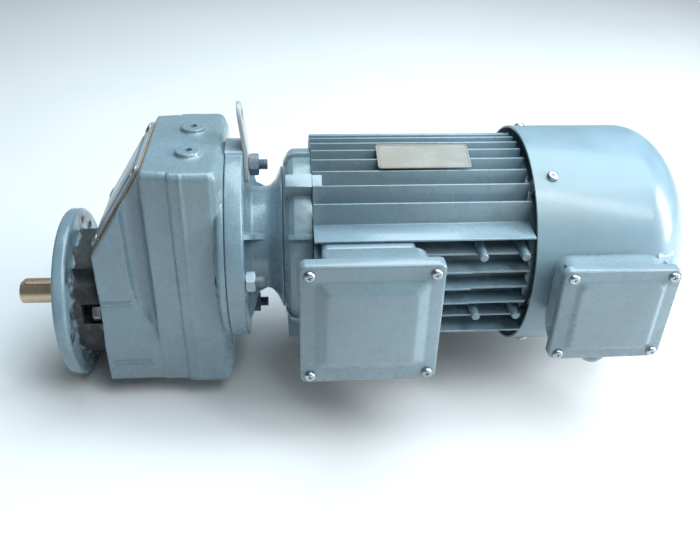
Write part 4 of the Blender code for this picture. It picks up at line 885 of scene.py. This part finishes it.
cut(tbb, oriented(loft([body_of(2.0, -depth), body_of(0.9, -depth + 0.7), body_of(0.0, -depth + 2.4), body_of(0.0, -30.0), body_of(0.0, BASE_TOP - 4.6),
                        body_of(-0.7, BASE_TOP - 3.4), body_of(-2.2, BASE_TOP - 2.4), body_of(-2.2, BASE_TOP - 1.0)]), BO, *MX), "UNION")
cut(tbb, oriented(turned_up([(-6.0, 0), (-6.0, 13.5), (13.9, 13.5), (13.9, 10.0), (34.0, 10.0), (34.0, 0)], 40), (bx, -154.5 + depth - 15.0, 0.0), (1, 0, 0), (0, 1, 0), (0, 0, 1)))
finish(tbb, ALLOY, "alloy_enamel", "terminal_box_base", angle=30.0)
ps = pan_head("ps", 2.2, 14.5, 4.6, 3.2)
for n, c in enumerate(TBS, 1):
    s = placed("box_screw_%d" % n, ps, (bx + c[0], -149.3, bz + c[1]), *MX)
    finish(s, ZINC, "zinc_steel", "terminal_box_screw_%d" % n)
drop(ps)

# ------------------------------------------------------------------ fan unit
COWL_R = 102.0
dome = []
for k in range(25):
    t = k / 24.0
    x = 515.0 + 52.0 * sin(t * pi / 2)
    dome.append((x, 38.0 + (COWL_R - 38.0) * max(0.0, cos(t * pi / 2)) ** 1.15))
inner = [(x - 2.2, r - 2.0 if r > 44 else r) for x, r in reversed(dome)]
cowl = new("cowl_pressed", turned([(415.3, 100.2), (415.3, 101.6), (415.7, 102.0)] + dome + inner, 160, AXIS, ring=True))
bars = []
for y in (-26.0, -13.0, 0.0, 13.0, 26.0):
    h = sqrt(39.0 ** 2 - y * y)
    bars.append(([(v[0], v[1], v[2] + DROP) for v in box(564.8, 566.8, y - 1.2, y + 1.2, -h, h)[0]], box(0, 1, 0, 1, 0, 1)[1]))
cut(cowl, merge(*bars), "UNION")
cut(cowl, box(564.9, 566.7, -39.0, 39.0, DROP - 1.2, DROP + 1.2), "UNION")


def radial(a, r, x):
    nn = (0.0, cos(a), sin(a))
    tt = (0.0, -sin(a), cos(a))
    return (x, nn[1] * r, DROP + nn[2] * r), (1, 0, 0), tt, nn


# pressed tab beside the small box
tab = []
for s_, x in enumerate((521.5, 522.3, 539.2, 540.0)):
    q = asin(max(0.0, min(1.0, (x - 515.0) / 52.0)))
    r = 38.0 + (COWL_R - 38.0) * cos(q) ** 1.15
    h = 1.1 if s_ in (1, 2) else 0.2
    ring = []
    for a, up_ in [(radians(180 + 11.0 - 22.0 - k * 1.3), h if 0 < k < 6 else 0.2) for k in range(7)]:
        ring.append((x, (r + up_) * cos(a), DROP + (r + up_) * sin(a)))
    for a in [radians(180 + 11.0 - 22.0 - k * 1.3) for k in reversed(range(7))]:
        ring.append((x, (r - 1.0) * cos(a), DROP + (r - 1.0) * sin(a)))
    tab.append(ring)
cut(cowl, loft(tab), "UNION")
cut(cowl, merge(*[oriented(turned_up([(-8.0, 0), (-8.0, 2.8), (-0.6, 2.8), (0.4, 3.1), (6.0, 3.1), (6.0, 0)], 32), *radial(a, COWL_R, 432.2)) for a in SA]))
finish(cowl, SHEET, "sheet_enamel", "fan_cowl", angle=30.0)
ks = pan_head("ks", 2.2, 5.0, 5.0, 2.8)
for n, a in enumerate(SA, 1):
    s = placed("sheet_screw_%d" % n, ks, *radial(a, COWL_R + 0.35, 432.2))
    finish(s, ZINC, "zinc_steel", "cowl_screw_%d" % n)
drop(ks)

FW, FH = 48.0, 44.5
FBO = (469.5, -150.0, DROP + 6.4)
fb = new("fan_box_cover_pressed", oriented(loft([
    ring_of(FW - 0.4, FH - 0.4, 6.8, -12.0), ring_of(FW, FH, 7.2, -11.4), ring_of(FW, FH, 7.2, -5.4), ring_of(FW - 0.4, FH - 0.4, 7.0, -4.2),
    ring_of(FW - 1.4, FH - 1.4, 6.6, -3.3), ring_of(FW - 2.6, FH - 2.6, 6.2, -3.0), ring_of(FW - 10.2, FH - 9.4, 6.0, -3.0),
    ring_of(FW - 11.4, FH - 10.6, 6.0, -2.7), ring_of(FW - 12.4, FH - 11.6, 6.0, -2.1), ring_of(FW - 14.2, FH - 13.4, 6.0, -0.6),
    ring_of(FW - 15.4, FH - 14.6, 5.6, -0.1), ring_of(FW - 17.0, FH - 16.2, 5.0, 0.0)]), FBO, *MX))
FBS = [(sx * (FW - 7.5), sy * (FH - 7.0)) for sx in (-1, 1) for sy in (-1, 1)]
cut(fb, merge(*[oriented(turned_up([(-16.0, 0), (-16.0, 2.6), (-3.4, 2.6), (-2.9, 3.0), (3.0, 3.2), (3.0, 0)], 32), (FBO[0] + c[0], FBO[1], FBO[2] + c[1]), *MX) for c in FBS]))
finish(fb, ALLOY, "alloy_enamel", "fan_box_cover", angle=24.0)
fbb = new("fan_box_base_casting", oriented(loft([
    ring_of(FW - 10.0, FH - 14.0, 8.0, -47.3), ring_of(FW - 6.5, FH - 9.5, 11.0, -42.0), ring_of(FW - 4.6, FH - 6.2, 11.0, -34.0),
    ring_of(FW - 4.0, FH - 5.0, 10.0, -28.0), ring_of(FW - 3.4, FH - 3.8, 9.0, -17.0), ring_of(FW - 2.4, FH - 2.6, 7.0, -14.4),
    ring_of(FW - 2.0, FH - 2.0, 6.4, -13.4), ring_of(FW - 2.4, FH - 2.4, 6.2, -12.4)]), FBO, *MX))
cut(fbb, oriented(turned_up([(-6.0, 0), (-6.0, 8.8), (22.0, 8.8), (22.0, 0)], 40), (FBO[0], FBO[1] + 25.5, FBO[2] - FH), (1, 0, 0), (0, 1, 0), (0, 0, 1)))
finish(fbb, ALLOY, "alloy_enamel", "fan_box_base", angle=30.0)
fs_ = pan_head("fs", 2.1, 20.0, 4.4, 2.6)
for n, c in enumerate(FBS, 1):
    s = placed("fan_box_pan_%d" % n, fs_, (FBO[0] + c[0], FBO[1] + 2.75, FBO[2] + c[1]), *MX)
    finish(s, ZINC, "zinc_steel", "fan_box_screw_%d" % n)
drop(fs_)
gl_v, gl_f = turned(soft(
    [(-10.0, 4.5), (-10.0, 8.4), (0.3, 8.4), (0.3, 12.3), (6.0, 12.3), (12.0, 12.0), (17.0, 9.0), (17.0, 4.5)],
    [0.3, 0.4, 0.2, 0.8, 2.0, 3.0, 1.2, 0.4], 4, closed=True), 48, ring=True)
gl = new("gland_turned", oriented(([(v[1], v[2], v[0]) for v in gl_v], gl_f),
                                  (FBO[0], FBO[1] + 25.5, FBO[2] - FH + 1.2), (1, 0, 0), (0, -1, 0), (0, 0, -1)))
finish(gl, ALLOY, "alloy_enamel", "fan_cable_gland")

# impeller with twisted, rounded blades
hub = new("impeller_moulding", turned(soft([(498.0, 5.5), (498.0, 20.0), (516.0, 20.0), (516.0, 5.5)], [0.4, 2.5, 2.5, 0.4], 5, closed=True), 72, AXIS, ring=True))
blades = []
for k in range(6):
    a = 2 * pi * k / 6
    n_ = Vector((0, cos(a), sin(a)))
    t_ = Vector((0, -sin(a), cos(a)))
    rings = []
    for i in range(12):
        f = i / 11.0
        q = 17.0 + 59.0 * f
        w = 7.0 + 8.0 * f - (1.6 if i == 11 else 0.5 if i == 10 else 0.0)
        pitch = 0.75 - 0.33 * f
        c = Vector((507.0, 0, DROP)) + n_ * q
        along = Vector((sin(pitch), 0, 0)) + t_ * cos(pitch)
        across = Vector((cos(pitch), 0, 0)) - t_ * sin(pitch)
        sec = []
        for j in range(7):
            u = -1 + 2 * j / 6.0
            sec.append((u, -1.0 * (1 - 0.8 * abs(u) ** 3) + 0.9 * (u * u - 0.5)))
        for j in range(7):
            u = 1 - 2 * j / 6.0
            sec.append((u, 1.0 * (1 - 0.8 * abs(u) ** 3) + 0.9 * (u * u - 0.5)))
        rings.append([tuple(c + along * u * w + across * v) for u, v in sec])
    blades.append(loft(rings))
cut(hub, merge(*blades), "UNION")
finish(hub, BLACK, "black_plastic", "fan_impeller", body="fan", angle=40.0)
fm = new("fan_motor_casting", turned(soft(
    [(438.0, 0), (438.0, 36.0), (486.0, 36.0), (486.0, 9.0), (494.0, 9.0), (494.0, 5.0), (521.0, 5.0), (521.0, 0)],
    [0, 3, 3, 1, 0.6, 0.4, 0.6, 0], 5), 72, AXIS))
cut(fm, merge(*[oriented(box(446.0, 460.0, -6.0, 6.0, 30.0, COWL_R - 3.2), (0, 0, DROP), (1, 0, 0),
                         (0, cos(a), sin(a)), (0, -sin(a), cos(a))) for a in (0.0, 2 * pi / 3, 4 * pi / 3)]), "UNION")
bevel(fm, 0.6, 2, 40)
finish(fm, ALLOY, "gear_steel", "fan_motor", angle=40.0)

# ------------------------------------------------------------------ pieces kept from the CAD
kept = {
    "output_bearing_front": ZINC, "output_bearing_rear": ZINC, "layshaft_bearing_front": ZINC, "layshaft_bearing_rear": ZINC,
    "motor_bearing_drive": ZINC, "motor_bearing_fan_end": ZINC, "bearing_carrier": GEARS, "stator_core": WOUND, "rotor_core": GEARS,
    "motor_shaft": GEARS, "output_gear": GEARS, "layshaft": GEARS, "layshaft_gear": GEARS, "terminal_board": BLACK, "fan_end_shield": ALLOY}
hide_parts("fan_end_shield")
del kept["fan_end_shield"]
for name, mat in kept.items():
    data = nodes[name].data
    data.materials.clear()
    data.materials.append(mat)

# ------------------------------------------------------------------ stage and light
lo, hi = cad_box
fz = min(v[2] for v in (lo, hi))
mesh = bpy.data.meshes.new("floor")
bm = bmesh.new()
rows = []
for y, z in [(-3.0, 0.0), (2.2, 0.0)] + [(2.2 + 0.8 * sin(a), 0.8 - 0.8 * cos(a)) for a in [k * pi / 24 for k in range(1, 13)]] + [(3.0, 3.5)]:
    rows.append([bm.verts.new((x, y, fz + z)) for x in (-4.0, 4.6)])
for a, b in zip(rows, rows[1:]):
    bm.faces.new((a[0], a[1], b[1], b[0]))
bm.to_mesh(mesh)
bm.free()
floor = bpy.data.objects.new("floor", mesh)
scene.collection.objects.link(floor)
mat, t, bsdf = shader("floor")
v = coords(t)
link(t, ramp(t, noise(t, v, 3.0, 3.0, 0.5), [(0.3, (0.70, 0.70, 0.70)), (0.7, (0.73, 0.73, 0.73))]), bsdf.inputs["Base Color"])
bsdf.inputs["Roughness"].default_value = 0.85
mesh.materials.append(mat)
mesh.shade_smooth()

scene.view_settings.view_transform = "Standard"
scene.view_settings.look = "None"
world = bpy.data.worlds.new("studio")
scene.world = world
world.use_nodes = True
world.node_tree.nodes["Background"].inputs["Color"].default_value = (0.86, 0.94, 1.0, 1.0)
world.node_tree.nodes["Background"].inputs["Strength"].default_value = 0.10


def area(name, at, aim, size, power, colour=(1, 1, 1), size_y=None):
    data = bpy.data.lights.new(name, "AREA")
    data.shape = "RECTANGLE"
    data.size = size
    data.size_y = size_y or size
    data.energy = power
    data.color = colour
    o = bpy.data.objects.new(name, data)
    scene.collection.objects.link(o)
    o.location = at
    o.rotation_euler = (Vector(aim) - Vector(at)).to_track_quat("-Z", "Y").to_euler()
    return o


mid = (0.26, 0.0, 0.06)
area("key", (0.62, 0.22, 1.60), mid, 1.9, 49.0, (0.76, 0.92, 1.0), 1.4)
area("front", (0.75, -1.10, 1.75), mid, 0.9, 7.0, (0.82, 0.94, 1.0), 0.7)
area("low_front", (1.4, -1.5, 0.40), mid, 0.6, 1.6, (0.94, 0.97, 1.0))
area("side_right", (1.7, -0.35, 0.6), (0.45, 0.0, 0.06), 0.4, 30.0, (0.94, 0.98, 1.0), 1.0)
area("strip", (1.05, -0.75, 1.25), (0.45, 0.0, 0.06), 0.14, 6.0, (1.0, 1.0, 1.0), 0.9)
